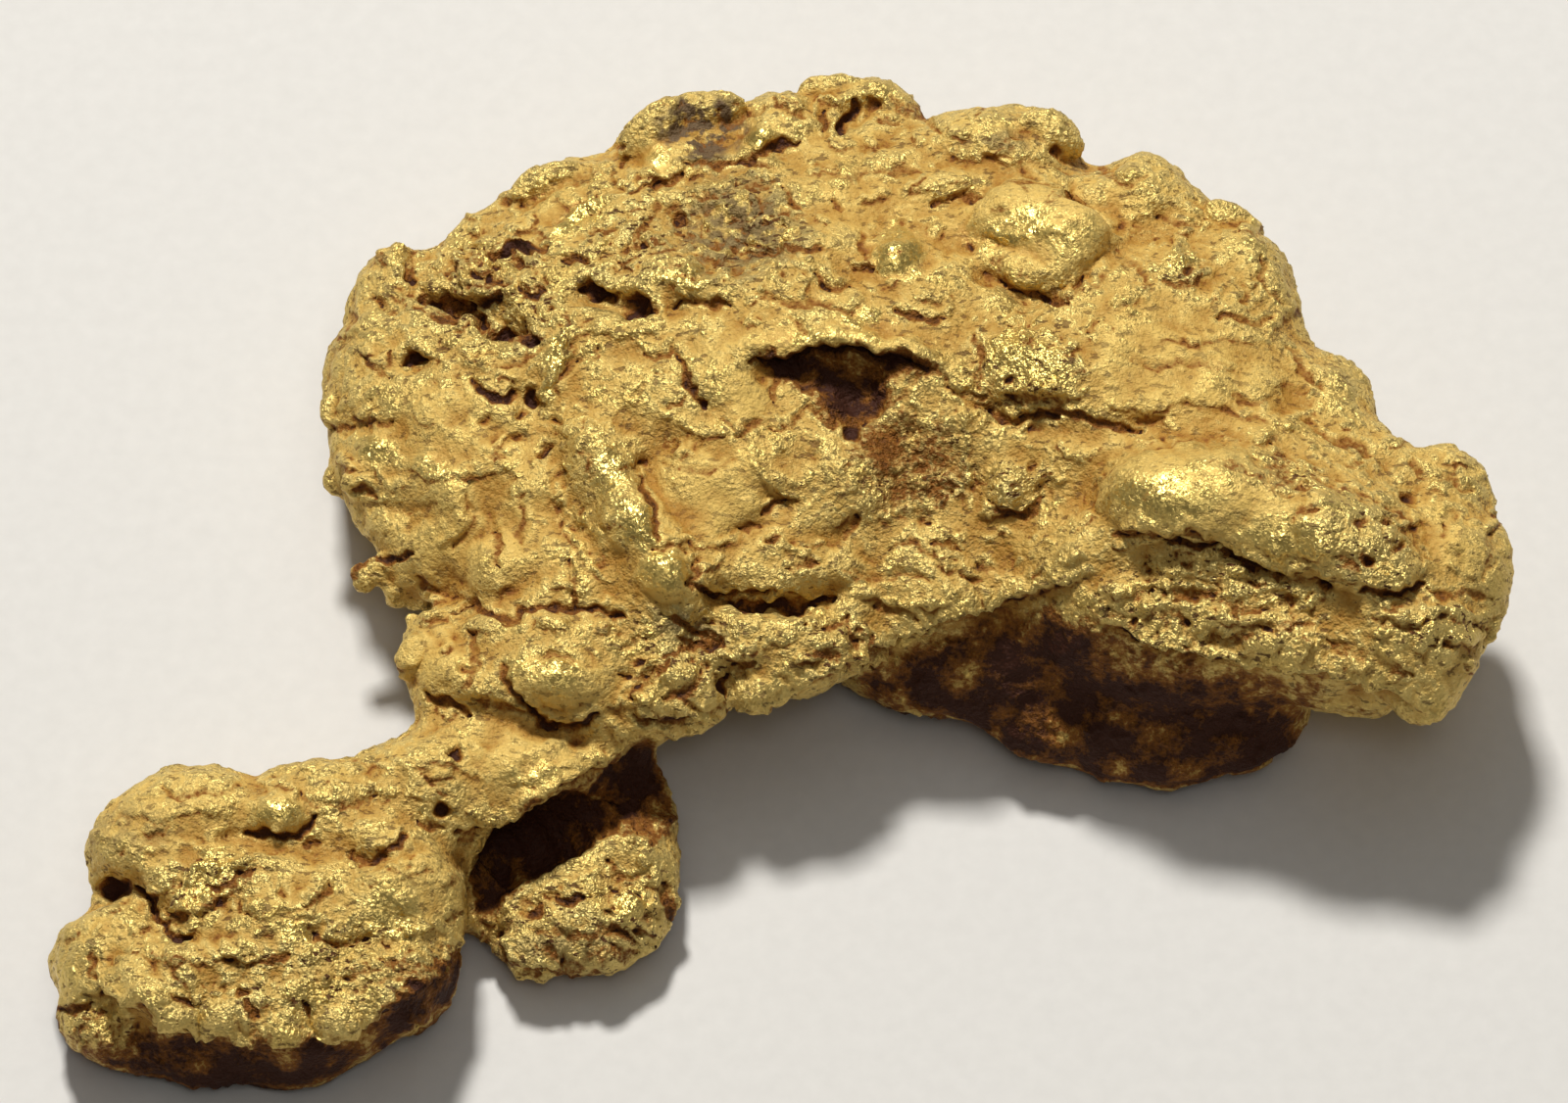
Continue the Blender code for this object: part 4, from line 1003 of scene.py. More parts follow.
def curve_through(spots):
    """Spots a few pixels apart on the smooth curve through the given ones."""
    spots = [np.array(s, float) for s in spots]
    spots = [2 * spots[0] - spots[1], *spots, 2 * spots[-1] - spots[-2]]
    curve = []
    for a, b, c, d in zip(spots, spots[1:], spots[2:], spots[3:]):
        steps = max(1, round(np.linalg.norm(c - b) / CURVE_STEP))
        for i in range(steps):
            t = i / steps
            curve.append(0.5 * (2 * b + (c - a) * t + (2 * a - 5 * b + 4 * c - d) * t**2
                                + (3 * b - a - 3 * c + d) * t**3))
    return np.array([*curve, spots[-2]])


class Skin:
    """The skin as the reference view sees it, and how far each of its points is pushed."""

    def __init__(self, obj):
        self.obj = obj
        self.points, self.normals = skin_arrays(obj.data)
        self.x, self.y = wavered(*picture_spots(self.points))
        self.seen = seen_share(obj, self.points, self.normals)
        self.push = np.zeros(len(self.points))
        self.dirt_and_shade = np.zeros(len(self.points))
        self.ragged = UNEVEN_SHARE * (bent_wave(self.x, self.y, *UNEVEN_ACROSS)
                                      * bent_wave(self.y, self.x, *UNEVEN_DOWN))

    def near(self, curve, reach):
        """Points near a curve: which, how far off and on which side in pixels, and how
        far they are from its nearer end as a share of half its length."""
        low, high = curve.min(axis=0) - reach, curve.max(axis=0) + reach
        close = np.flatnonzero((self.seen > 0) & (self.x > low[0]) & (self.x < high[0])
                               & (self.y > low[1]) & (self.y < high[1]))
        x, y = self.x[close], self.y[close]
        off = np.full(len(close), np.inf)
        side = np.zeros(len(close))
        place = np.zeros(len(close))
        start = 0.0
        for (x0, y0), (x1, y1) in zip(curve, curve[1:]):
            length = math.hypot(x1 - x0, y1 - y0)
            t = np.clip(((x - x0) * (x1 - x0) + (y - y0) * (y1 - y0)) / length**2, 0, 1)
            apart = np.hypot(x - x0 - t * (x1 - x0), y - y0 - t * (y1 - y0))
            nearer = apart < off
            off = np.where(nearer, apart, off)
            side = np.where(nearer, (x1 - x0) * (y - y0) - (y1 - y0) * (x - x0), side)
            place = np.where(nearer, start + t * length, place)
            start += length
        from_end = 2 * np.minimum(place, start - place) / start
        return close, off, np.sign(side), from_end

    def draw_line(self, spots, half_width, rise):
        """A ridge with a round crest, or a crevice with steep sides where rise is below 0."""
        reach = half_width * MM / PIXEL
        close, off, _, from_end = self.near(curve_through(spots), reach)
        widening = np.sqrt(np.clip(END_WIDENING * from_end, 0, 1))
        width = reach * (END_WIDTH + (1 - END_WIDTH) * widening)
        power = CREVICE_POWER if rise < 0 else RIDGE_POWER
        self.add(close, np.clip(1 - (off / width) ** 2, 0, 1) ** power, rise, uneven=True)
        if rise < 0:
            self.draw_ledge(spots, LIP_WIDTH, -rise * LIP_SHARE)

    def draw_ledge(self, spots, ramp_width, rise):
        """A fold that ramps up to its line and drops on the line's right-hand side."""
        reach = ramp_width * MM / PIXEL
        close, off, side, from_end = self.near(curve_through(spots), reach)
        ramp = np.clip(1 - off / reach, 0, 1) ** RAMP_POWER
        drop = np.clip(1 - off / (LEDGE_DROP / PIXEL), 0, 1)
        fade = np.clip(LEDGE_FADE * from_end, 0, 1)
        self.add(close, np.where(side < 0, ramp, drop) * fade, rise * LEDGE_DEEPENING, uneven=True)
        # A thin dark line of painted shadow at the foot of the drop
        foot = np.clip(1 - abs(off / (LEDGE_DROP / PIXEL) - 1), 0, 1) * (side > 0) * fade * FOOT_SHADOW_PAINT
        self.dirt_and_shade[close] = np.maximum(self.dirt_and_shade[close], foot)

    def draw_flake_edges(self, rough):
        """Short edges of lapped flakes at random, denser where the skin is rough. Most lie
        across the reference view and drop toward it."""
        rng = np.random.default_rng(FLAKE_SEED)
        places = rng.choice(np.flatnonzero(self.seen > SEEN_FLAKES), FLAKE_EDGES)
        for i in places[rng.random(FLAKE_EDGES) < FLAKES_PLAIN + FLAKES_ROUGH * rough[places]]:
            half = rng.uniform(*FLAKE_HALF_LENGTH)
            turn = rng.normal(0, FLAKE_TURN)
            sag = half * rng.uniform(*FLAKE_SAG)
            ahead = np.array([math.cos(turn), math.sin(turn)])
            below = np.array([-ahead[1], ahead[0]])
            middle = np.array([self.x[i], self.y[i]])
            spots = [middle - half * ahead - sag * below, middle, middle + half * ahead - sag * below]
            self.draw_ledge(spots, rng.uniform(*FLAKE_RAMP), rng.uniform(*FLAKE_RISE))

    def draw_crumbs(self, rough):
        """Small lumps at random, denser where the skin is rough, and pits among them there."""
        rng = np.random.default_rng(CRUMB_SEED)
        places = rng.choice(np.flatnonzero(self.seen > SEEN_CRUMBS), CRUMBS)
        for i in places[rng.random(CRUMBS) < rough[places] ** 2]:
            half = rng.uniform(*CRUMB_HALF_LENGTH)
            flat = half * rng.uniform(*CRUMB_FLATNESS)
            turn = rng.uniform(-CRUMB_TURN, CRUMB_TURN)
            pit = rng.random() < CRUMB_PITS * (rough[i] - PITTED_ROUGHNESS)
            rise = rng.uniform(*(CRUMB_PIT if pit else CRUMB_RISE))
            self.draw_lump(self.x[i], self.y[i], half, flat, turn, rise)

    def draw_lump(self, x, y, half_length, half_height, turn, rise):
        """A lump or, where rise is below 0, a pit."""
        reach = ellipse_reach(self.x, self.y, x, y, half_length, half_height, turn)
        close = np.flatnonzero((reach < 1) & (self.seen > 0))
        self.add(close, (1 - reach[close] ** 2) ** (PIT_POWER if rise < 0 else LUMP_POWER), rise)

    def add(self, close, share, rise, uneven=False):
        """Pushes points by their share of the rise in mm, and puts clay and painted shade in what sinks.
        """
        depth = rise * MM
        if uneven:
            depth = depth + self.ragged[close] * np.clip(rise, -UNEVEN_RISE, UNEVEN_RISE) * MM
        self.push[close] += share * self.seen[close] * depth
        # Sunken skin gets clay and painted shade
        if rise < 0:
            self.dirt_and_shade[close] = np.maximum(self.dirt_and_shade[close], share * min(1, -rise / DIRTY_DEPTH))

    def apply(self):
        """Moves the skin's points out along their normals by what was drawn."""
        moved = self.points + self.normals * self.push[:, None]
        self.obj.data.vertices.foreach_set("co", moved.astype(np.float32).ravel())
        self.obj.data.update()


def ellipse_reach(px, py, x, y, half_length, half_height, turn):
    """0 at the middle of an ellipse in the view, 1 on its edge and more outside it."""
    across, down = px - x, py - y
    cosine, sine = math.cos(math.radians(turn)), math.sin(math.radians(turn))
    along = (across * cosine + down * sine) / half_length
    over = (down * cosine - across * sine) / half_height
    return np.hypot(along, over)


def patch_share(skin, patches):
    """How far each point lies in any of these patches, from 0 to their strength, with soft
    edges."""
    share = np.zeros(len(skin.points))
    for x, y, half_length, half_height, turn, strength in patches.values():
        reach = ellipse_reach(skin.x, skin.y, x, y, half_length, half_height, turn)
        reach += PATCH_WAVER * skin.ragged
        share = np.maximum(share, strength * np.clip((PATCH_END - reach) / PATCH_FADE, 0, 1))
    return share * skin.seen


def store(mesh, name, values):
    """Keeps a value for each point of the mesh, for the relief and the material."""
    attribute = mesh.attributes.new(name, "FLOAT", "POINT")
    attribute.data.foreach_set("value", values.astype(np.float32))


def add_node(tree, kind, inputs=None, **settings):
    """A node with its settings. Inputs are values, sockets, or nodes whose first output is
    meant."""
    node = tree.nodes.new(kind)
    for name, value in settings.items():
        setattr(node, name, value)
    for key, value in (inputs or {}).items():
        if isinstance(value, bpy.types.Node):
            value = value.outputs[0]
        if isinstance(value, bpy.types.NodeSocket):
            tree.links.new(value, node.inputs[key])
        else:
            node.inputs[key].default_value = value
    return node


def geometry_tree(name, sizes=()):
    """An empty tree that takes geometry and the named sizes, and gives geometry."""
    tree = bpy.data.node_groups.new(name, "GeometryNodeTree")
    tree.interface.new_socket("Geometry", in_out="OUTPUT", socket_type="NodeSocketGeometry")
    tree.interface.new_socket("Geometry", in_out="INPUT", socket_type="NodeSocketGeometry")
    for size in sizes:
        tree.interface.new_socket(size, in_out="INPUT", socket_type="NodeSocketFloat")
    return tree


def relief_tree(material):
    """Geometry nodes that raise crumbs, plates and flakes, and sink pits and creases."""
    tree = geometry_tree("crumb relief", [*RELIEF, "Seed"])
    given = add_node(tree, "NodeGroupInput").outputs
    place = add_node(tree, "GeometryNodeInputPosition")
    rough = add_node(tree, "GeometryNodeInputNamedAttribute", {"Name": "rough"})
    unseen = add_node(tree, "GeometryNodeInputNamedAttribute", {"Name": "unseen"})
    scale = {}
    for name in RELIEF:
        if name.endswith(" Size"):
            pattern = name.removesuffix(" Size")
            scale[pattern] = add_node(tree, "ShaderNodeMath", {0: 1.0, 1: given[name]}, operation="DIVIDE")
    relief = {}

    # The pattern's coordinates wander, so that nothing repeats evenly
    wander = add_node(tree, "ShaderNodeTexNoise",
                      {"Vector": place, "Scale": scale["Wander"], "W": given["Seed"]},
                      noise_dimensions="4D")
    shift = add_node(tree, "ShaderNodeVectorMath", {0: wander.outputs["Color"], 1: (NOISE_MIDDLE,) * 3},
                     operation="SUBTRACT")
    shift = add_node(tree, "ShaderNodeVectorMath", {0: shift, "Scale": given["Wander"]}, operation="SCALE")
    spot = add_node(tree, "ShaderNodeVectorMath", {0: place, 1: shift})

    # Crumbs: rounded grains of many sizes
    crumb = add_node(tree, "ShaderNodeTexNoise",
                     {"Vector": spot, "Scale": scale["Crumb"], "W": given["Seed"], "Detail": 2.0,
                      "Roughness": 0.55}, noise_dimensions="4D")
    relief["Crumb"] = add_node(tree, "ShaderNodeMath", {0: crumb, 1: NOISE_MIDDLE}, operation="SUBTRACT")

    # Knobs and grit: rounded grains of two sizes with a crease between them
    for kind in ("Knob", "Grit"):
        clump = add_node(tree, "ShaderNodeTexVoronoi", {"Vector": spot, "Scale": scale[kind]})
        relief[kind] = add_node(tree, "ShaderNodeMath", {0: clump, 1: clump}, operation="MULTIPLY")

    # Plates: cells of random height with ragged borders, like the ends of broken leaves
    ragged = add_node(tree, "ShaderNodeTexNoise",
                      {"Vector": place, "Scale": scale["Ragged"], "W": PLATE_SEED},
                      noise_dimensions="4D")
    ragged = add_node(tree, "ShaderNodeVectorMath", {0: ragged.outputs["Color"], 1: (NOISE_MIDDLE,) * 3},
                      operation="SUBTRACT")
    ragged = add_node(tree, "ShaderNodeVectorMath", {0: ragged, "Scale": given["Ragged"]},
                      operation="SCALE")
    ragged = add_node(tree, "ShaderNodeVectorMath", {0: spot, 1: ragged})
    plate = add_node(tree, "ShaderNodeTexVoronoi", {"Vector": ragged, "Scale": scale["Plate"]})
    relief["Plate"] = plate.outputs["Color"]

    # Flakes, in places: a slow ramp and a sudden drop, again and again, as hammered leaves
    # of metal lap
    flake = add_node(tree, "ShaderNodeTexNoise",
                     {"Vector": spot, "Scale": scale["Flake"], "W": given["Seed"], "Detail": 1.5},
                     noise_dimensions="4D")
    flake = add_node(tree, "ShaderNodeMath", {0: flake, 1: LAPPED_LEAVES}, operation="MULTIPLY")
    flake = add_node(tree, "ShaderNodeMath", {0: flake}, operation="FRACT")
    rising = add_node(tree, "ShaderNodeMath", {0: flake, 1: LEAF_RAMP}, operation="DIVIDE")
    falling = add_node(tree, "ShaderNodeMath", {0: 1.0, 1: flake}, operation="SUBTRACT")
    falling = add_node(tree, "ShaderNodeMath", {0: falling, 1: 1 - LEAF_RAMP}, operation="DIVIDE")
    flake = add_node(tree, "ShaderNodeMath", {0: rising, 1: falling}, operation="MINIMUM")
    lapped = add_node(tree, "ShaderNodeTexNoise",
                      {"Vector": place, "Scale": scale["Wander"], "W": LAPPED_SEED},
                      noise_dimensions="4D")
    lapped = add_node(tree, "ShaderNodeMapRange", {"Value": lapped, "From Min": 0.46, "From Max": 0.58})
    relief["Flake"] = add_node(tree, "ShaderNodeMath", {0: flake, 1: lapped}, operation="MULTIPLY")

    # Pits: one in some of the cells of a random cell pattern
    cell = add_node(tree, "ShaderNodeTexVoronoi", {"Vector": spot, "Scale": scale["Pit"]})
    pit = add_node(tree, "ShaderNodeMapRange",
                   {"Value": cell, "From Min": 0.08, "From Max": 0.26, "To Min": 1.0, "To Max": 0.0},
                   interpolation_type="SMOOTHSTEP")
    pitted = add_node(tree, "ShaderNodeMath", {0: cell.outputs["Color"], 1: PITTED_FROM},
                      operation="GREATER_THAN")
    relief["Pit"] = add_node(tree, "ShaderNodeMath", {0: pit, 1: pitted}, operation="MULTIPLY")

    # Creases, in places: thin lines where a slow noise crosses its middle value
    crease = add_node(tree, "ShaderNodeTexNoise",
                      {"Vector": spot, "Scale": scale["Crease"], "W": CREASE_SEED, "Detail": 1.0},
                      noise_dimensions="4D")
    crease = add_node(tree, "ShaderNodeMath", {0: crease, 1: NOISE_MIDDLE}, operation="SUBTRACT")
    crease = add_node(tree, "ShaderNodeMath", {0: crease}, operation="ABSOLUTE")
    crease = add_node(tree, "ShaderNodeMapRange",
                      {"Value": crease, "From Min": 0.0, "From Max": 0.022, "To Min": 1.0, "To Max": 0.0})
    broken = add_node(tree, "ShaderNodeTexNoise",
                      {"Vector": place, "Scale": scale["Wander"], "W": BROKEN_SEED},
                      noise_dimensions="4D")
    broken = add_node(tree, "ShaderNodeMapRange", {"Value": broken, "From Min": 0.48, "From Max": 0.56})
    relief["Crease"] = add_node(tree, "ShaderNodeMath", {0: crease, 1: broken}, operation="MULTIPLY")

    # Broad folds on the sides that the reference view doesn't show
    fold = add_node(tree, "ShaderNodeTexNoise",
                    {"Vector": spot, "Scale": scale["Fold"], "W": FOLD_SEED, "Detail": 1.0},
                    noise_dimensions="4D")
    fold = add_node(tree, "ShaderNodeMath", {0: fold, 1: NOISE_MIDDLE}, operation="SUBTRACT")
    fold = add_node(tree, "ShaderNodeMath", {0: fold, 1: given["Fold Height"]}, operation="MULTIPLY")
    fold = add_node(tree, "ShaderNodeMath", {0: fold, 1: unseen}, operation="MULTIPLY")

    height = 0.0
    for name, part in relief.items():
        height = add_node(tree, "ShaderNodeMath", {0: part, 1: given[name + " Height"], 2: height},
                          operation="MULTIPLY_ADD")
    share = add_node(tree, "ShaderNodeMath", {0: unseen, 1: UNSEEN_RELIEF, 2: rough},
                     operation="MULTIPLY_ADD")
    height = add_node(tree, "ShaderNodeMath", {0: height, 1: share, 2: fold}, operation="MULTIPLY_ADD")
    normal = add_node(tree, "GeometryNodeInputNormal")
    offset = add_node(tree, "ShaderNodeVectorMath", {0: normal, "Scale": height}, operation="SCALE")
    moved = add_node(tree, "GeometryNodeSetPosition", {"Geometry": given["Geometry"], "Offset": offset})
    realized = add_node(tree, "GeometryNodeRealizeInstances", {0: moved})
    finished = add_node(tree, "GeometryNodeSetMaterial", {"Geometry": realized, "Material": material})
    add_node(tree, "NodeGroupOutput", {0: finished})
    return tree


def wear_tree():
    """Geometry nodes that store how deep each point lies in a crevice or a valley, in mm."""
    tree = geometry_tree("wear")
    geometry = add_node(tree, "NodeGroupInput").outputs[0]
    place = add_node(tree, "GeometryNodeInputPosition")
    normal = add_node(tree, "GeometryNodeInputNormal")
    for name, steps in WEAR_STEPS.items():
        around = add_node(tree, "GeometryNodeBlurAttribute", {"Value": place, "Iterations": steps},
                          data_type="FLOAT_VECTOR")
        toward = add_node(tree, "ShaderNodeVectorMath", {0: around, 1: place}, operation="SUBTRACT")
        depth = add_node(tree, "ShaderNodeVectorMath", {0: toward, 1: normal}, operation="DOT_PRODUCT")
        depth = add_node(tree, "ShaderNodeMath", {0: depth.outputs["Value"], 1: 1 / MM},
                         operation="MULTIPLY")
        geometry = add_node(tree, "GeometryNodeStoreNamedAttribute",
                            {"Geometry": geometry, "Name": name, "Value": depth},
                            data_type="FLOAT", domain="POINT")
    add_node(tree, "NodeGroupOutput", {0: geometry})
    return tree


def thin_out(obj, triangles, group=""):
    """Collapses the mesh to this many triangles, those of the vertex group first."""
    obj.data.calc_loop_triangles()
    modifier = obj.modifiers.new("thin out", "DECIMATE")
    modifier.ratio = triangles / len(obj.data.loop_triangles)
    modifier.vertex_group = group
    keep_result(obj)


def linear(hex_colour):
    """A colour for a node from its sRGB hex value."""
    parts = [int(hex_colour[i:i + 2], 16) / 255 for i in (1, 3, 5)]
    return [p / 12.92 if p <= 0.04045 else ((p + 0.055) / 1.055) ** 2.4 for p in parts] + [1.0]


def native_gold():
    """Water-worn native gold: a soft metal with some silver, hammered and scratched in a
    stream. Crests are burnished pale yellow and glint in points. A thin film of tan clay
    dulls the flats and hollows, and the deepest crevices hold red-brown iron clay. Dark
    clay colours also paint shade on the shadowed front walls and in deep gaps, shadow lines
    under ledges, and small shadow specks between the grains."""
    material = bpy.data.materials.new("water-worn native gold")
    material.use_nodes = True
    tree = material.node_tree
    shader = tree.nodes["Principled BSDF"]
    place = add_node(tree, "ShaderNodeTexCoord").outputs["Object"]
    crevice, valley, dirt_and_shade, stain, polish, rough = [
        add_node(tree, "ShaderNodeAttribute", attribute_name=name).outputs["Fac"]
        for name in ("crevice", "valley", "dirt_and_shade", "stain", "polish", "rough")]

    # The film of clay: thicker in valleys, broken up by mottling of two sizes, thinner where
    # the skin is rough, and worn off rough crests and polished bosses
    drift = add_node(tree, "ShaderNodeTexNoise", {"Vector": place, "Scale": 1 / DRIFT_SIZE, "Detail": 3.0})
    mottle = add_node(tree, "ShaderNodeTexNoise",
                      {"Vector": place, "Scale": 1 / MOTTLE_SIZE, "Detail": 2.0, "Roughness": 0.65})
    low = add_node(tree, "ShaderNodeMapRange", {"Value": valley, "From Min": -0.06, "From Max": 0.1})
    crest = add_node(tree, "ShaderNodeMapRange", {"Value": crevice, "From Min": 0.0, "From Max": -0.03})
    crest = add_node(tree, "ShaderNodeMath", {0: crest, 1: rough}, operation="MULTIPLY")
    film = FILM_PLAIN
    for source, share in zip((drift, low, rough, mottle, crest, polish), FILM_SHARES.values()):
        film = add_node(tree, "ShaderNodeMath", {0: source, 1: share, 2: film}, operation="MULTIPLY_ADD")
    film.use_clamp = True

    # Of a Mix node, inputs 6 and 7 and output 2 are colours
    bare = add_node(tree, "ShaderNodeMix", {0: drift, 6: linear(BARE_GOLD[0]), 7: linear(BARE_GOLD[1])},
                    data_type="RGBA").outputs[2]
    bare = add_node(tree, "ShaderNodeMix", {0: polish, 6: bare, 7: linear(POLISHED_GOLD)},
                    data_type="RGBA").outputs[2]
    # The tan is darker in valleys and lighter on highs: partly a thicker film, partly painted shade
    high = add_node(tree, "ShaderNodeMapRange", {"Value": valley, "From Min": 0.14, "From Max": -0.08})
    tan = add_node(tree, "ShaderNodeMath", {0: mottle, 1: TAN_MOTTLE, 2: -TAN_MOTTLE / 2},
                   operation="MULTIPLY_ADD")
    tan = add_node(tree, "ShaderNodeMath", {0: tan, 1: high}, operation="ADD", use_clamp=True)
    tan = add_node(tree, "ShaderNodeMix", {0: tan, 6: linear(CLAY_FILM[0]), 7: linear(CLAY_FILM[1])},
                   data_type="RGBA").outputs[2]
    colour = add_node(tree, "ShaderNodeMix", {0: film, 6: bare, 7: tan}, data_type="RGBA").outputs[2]

    # Grey-brown stain in blotches
    blotch = add_node(tree, "ShaderNodeTexNoise",
                      {"Vector": place, "Scale": 1 / BLOTCH_SIZE, "Detail": 4.0})
    blotch = add_node(tree, "ShaderNodeMapRange", {"Value": blotch, "From Min": 0.58, "From Max": 0.48})
    stained = add_node(tree, "ShaderNodeMath", {0: blotch, 1: stain}, operation="MULTIPLY")

    # Painted shadow specks: small brown shadows between the grains, longer across the nugget,
    # most where the skin is rough
    stretched = add_node(tree, "ShaderNodeVectorMath", {0: place, 1: SPECK_STRETCH}, operation="MULTIPLY")
    speck = add_node(tree, "ShaderNodeTexNoise",
                     {"Vector": stretched, "Scale": 1 / SPECK_SIZE, "Detail": 3.0, "Roughness": 0.6})
    speck = add_node(tree, "ShaderNodeMapRange",
                     {"Value": speck, "From Min": 0.41, "From Max": 0.37, "To Max": 1.0})
    open_skin = add_node(tree, "ShaderNodeMath", {0: rough, 1: 1 - SPECK_SHADOWS_PLAIN, 2: SPECK_SHADOWS_PLAIN},
                         operation="MULTIPLY_ADD")
    speck_shadows = add_node(tree, "ShaderNodeMath", {0: speck, 1: open_skin}, operation="MULTIPLY",
                        use_clamp=True)

    # Iron clay and painted shade in the crevices, and, patchily, where it is drawn: there it is
    # also painted shade on the shadowed walls, in the throat and the heel gap, and painted shadow
    # lines under ledges
    deep = add_node(tree, "ShaderNodeMapRange", {"Value": crevice, "From Min": 0.04, "From Max": 0.16})
    patchy = add_node(tree, "ShaderNodeMath", {0: drift, 1: CLAY_PATCHINESS, 2: 1 - CLAY_PATCHINESS / 2},
                      operation="MULTIPLY_ADD")
    patchy = add_node(tree, "ShaderNodeMath", {0: patchy, 1: dirt_and_shade}, operation="MULTIPLY")
    clay_and_shade_share = add_node(tree, "ShaderNodeMath", {0: deep, 1: patchy}, operation="MAXIMUM")
    uneven = add_node(tree, "ShaderNodeMath", {0: mottle, 1: CLAY_MOTTLE, 2: -CLAY_MOTTLE / 2},
                      operation="MULTIPLY_ADD")
    clay_and_shade_share = add_node(tree, "ShaderNodeMath", {0: clay_and_shade_share, 1: uneven}, operation="ADD")
    thin_clay_and_shade = add_node(tree, "ShaderNodeMapRange", {"Value": clay_and_shade_share, "From Min": 0.22, "From Max": 0.5})
    thick_clay_and_shade = add_node(tree, "ShaderNodeMapRange", {"Value": clay_and_shade_share, "From Min": 0.5, "From Max": 0.85})

    covers = ((stained, STAIN), (speck_shadows, SPECK_SHADOW_COLOUR), (thin_clay_and_shade, THIN_CLAY_AND_SHADE), (thick_clay_and_shade, THICK_CLAY_AND_SHADE))
    for share, cover in covers:
        colour = add_node(tree, "ShaderNodeMix", {0: share, 6: colour, 7: linear(cover)},
                          data_type="RGBA").outputs[2]
    tree.links.new(colour, shader.inputs["Base Color"])

    # Bare gold is metal. What lies on it dulls it, and so do the painted speck shadows and the
    # painted shade in the thin clay.
    dull = film
    for cover in (speck_shadows, thin_clay_and_shade, stained):
        dull = add_node(tree, "ShaderNodeMath", {0: dull, 1: cover}, operation="MAXIMUM")
    metal = add_node(tree, "ShaderNodeMapRange",
                     {"Value": dull, "To Min": METALLIC[0], "To Max": METALLIC[1]})
    tree.links.new(metal.outputs[0], shader.inputs["Metallic"])
    shader.inputs["Specular IOR Level"].default_value = SPECULAR_LEVEL
    gloss = add_node(tree, "ShaderNodeMapRange",
                     {"Value": dull, "To Min": ROUGHNESS[0], "To Max": ROUGHNESS[1]})
    gloss = add_node(tree, "ShaderNodeMath", {0: polish, 1: POLISH, 2: gloss}, operation="MULTIPLY_ADD")
    tree.links.new(gloss.outputs[0], shader.inputs["Roughness"])

    # Relief too fine for the mesh: nicks, grains where the skin is crumbly, the thin edges
    # of lapped leaves, and what the speck shadows and the thick clay and shade sink. Polish
    # wears it down.
    nicks = add_node(tree, "ShaderNodeTexNoise",
                     {"Vector": place, "Scale": 1 / NICK_SIZE, "Detail": 1.5, "Roughness": 0.75})
    rough_nicks = add_node(tree, "ShaderNodeMath", {0: nicks, 1: rough}, operation="MULTIPLY")
    grains = add_node(tree, "ShaderNodeTexVoronoi", {"Vector": place, "Scale": 1 / GRAIN_SIZE})
    grains = add_node(tree, "ShaderNodeMath", {0: grains, 1: grains}, operation="MULTIPLY")
    crumbly = add_node(tree, "ShaderNodeMath", {0: drift, 1: DRIFTING_GRAINS, 2: rough},
                       operation="MULTIPLY_ADD")
    grains = add_node(tree, "ShaderNodeMath", {0: grains, 1: crumbly}, operation="MULTIPLY")
    ragged = add_node(tree, "ShaderNodeTexNoise",
                      {"Vector": place, "Scale": 1 / LEAF_RAGGED, "Detail": 1.0})
    ragged = add_node(tree, "ShaderNodeVectorMath",
                      {0: ragged.outputs["Color"], 1: (LEAF_RAGGED,) * 3, 2: place},
                      operation="MULTIPLY_ADD")
    leaves = add_node(tree, "ShaderNodeTexVoronoi",
                      {"Vector": ragged, "Scale": 1 / LEAF_SIZE}).outputs["Color"]
    filmed_leaves = add_node(tree, "ShaderNodeMath", {0: film, 1: leaves}, operation="MULTIPLY")
    height = 0.0
    for part, rise in zip((nicks, rough_nicks, grains, speck_shadows, thick_clay_and_shade, leaves, filmed_leaves),
                          BUMP.values()):
        height = add_node(tree, "ShaderNodeMath", {0: part, 1: rise, 2: height}, operation="MULTIPLY_ADD")
    worn = add_node(tree, "ShaderNodeMath", {0: polish, 1: POLISHED_AWAY, 2: 1.0},
                    operation="MULTIPLY_ADD")
    height = add_node(tree, "ShaderNodeMath", {0: height, 1: worn}, operation="MULTIPLY")

    # Facets: small flats that each tilt their own way, so that some glint where gold is bare
    facet = add_node(tree, "ShaderNodeTexVoronoi", {"Vector": place, "Scale": 1 / FACET_SIZE})
    tilt = add_node(tree, "ShaderNodeVectorMath", {0: facet.outputs["Color"], 1: (NOISE_MIDDLE,) * 3},
                    operation="SUBTRACT")
    across = add_node(tree, "ShaderNodeVectorMath", {0: place, 1: facet.outputs["Position"]},
                      operation="SUBTRACT")
    facet = add_node(tree, "ShaderNodeVectorMath", {0: tilt, 1: across}, operation="DOT_PRODUCT")
    glint = add_node(tree, "ShaderNodeMath", {0: 1.0, 1: film}, operation="SUBTRACT")
    glint = add_node(tree, "ShaderNodeMath", {0: glint, 1: FACET_TILT / MM}, operation="MULTIPLY")
    glint = add_node(tree, "ShaderNodeMath", {0: glint, 1: worn}, operation="MULTIPLY")
    height = add_node(tree, "ShaderNodeMath", {0: facet.outputs["Value"], 1: glint, 2: height},
                      operation="MULTIPLY_ADD")
    bump = add_node(tree, "ShaderNodeBump", {"Height": height, "Strength": 1.0, "Distance": MM})
    tree.links.new(bump.outputs[0], shader.inputs["Normal"])
    return material


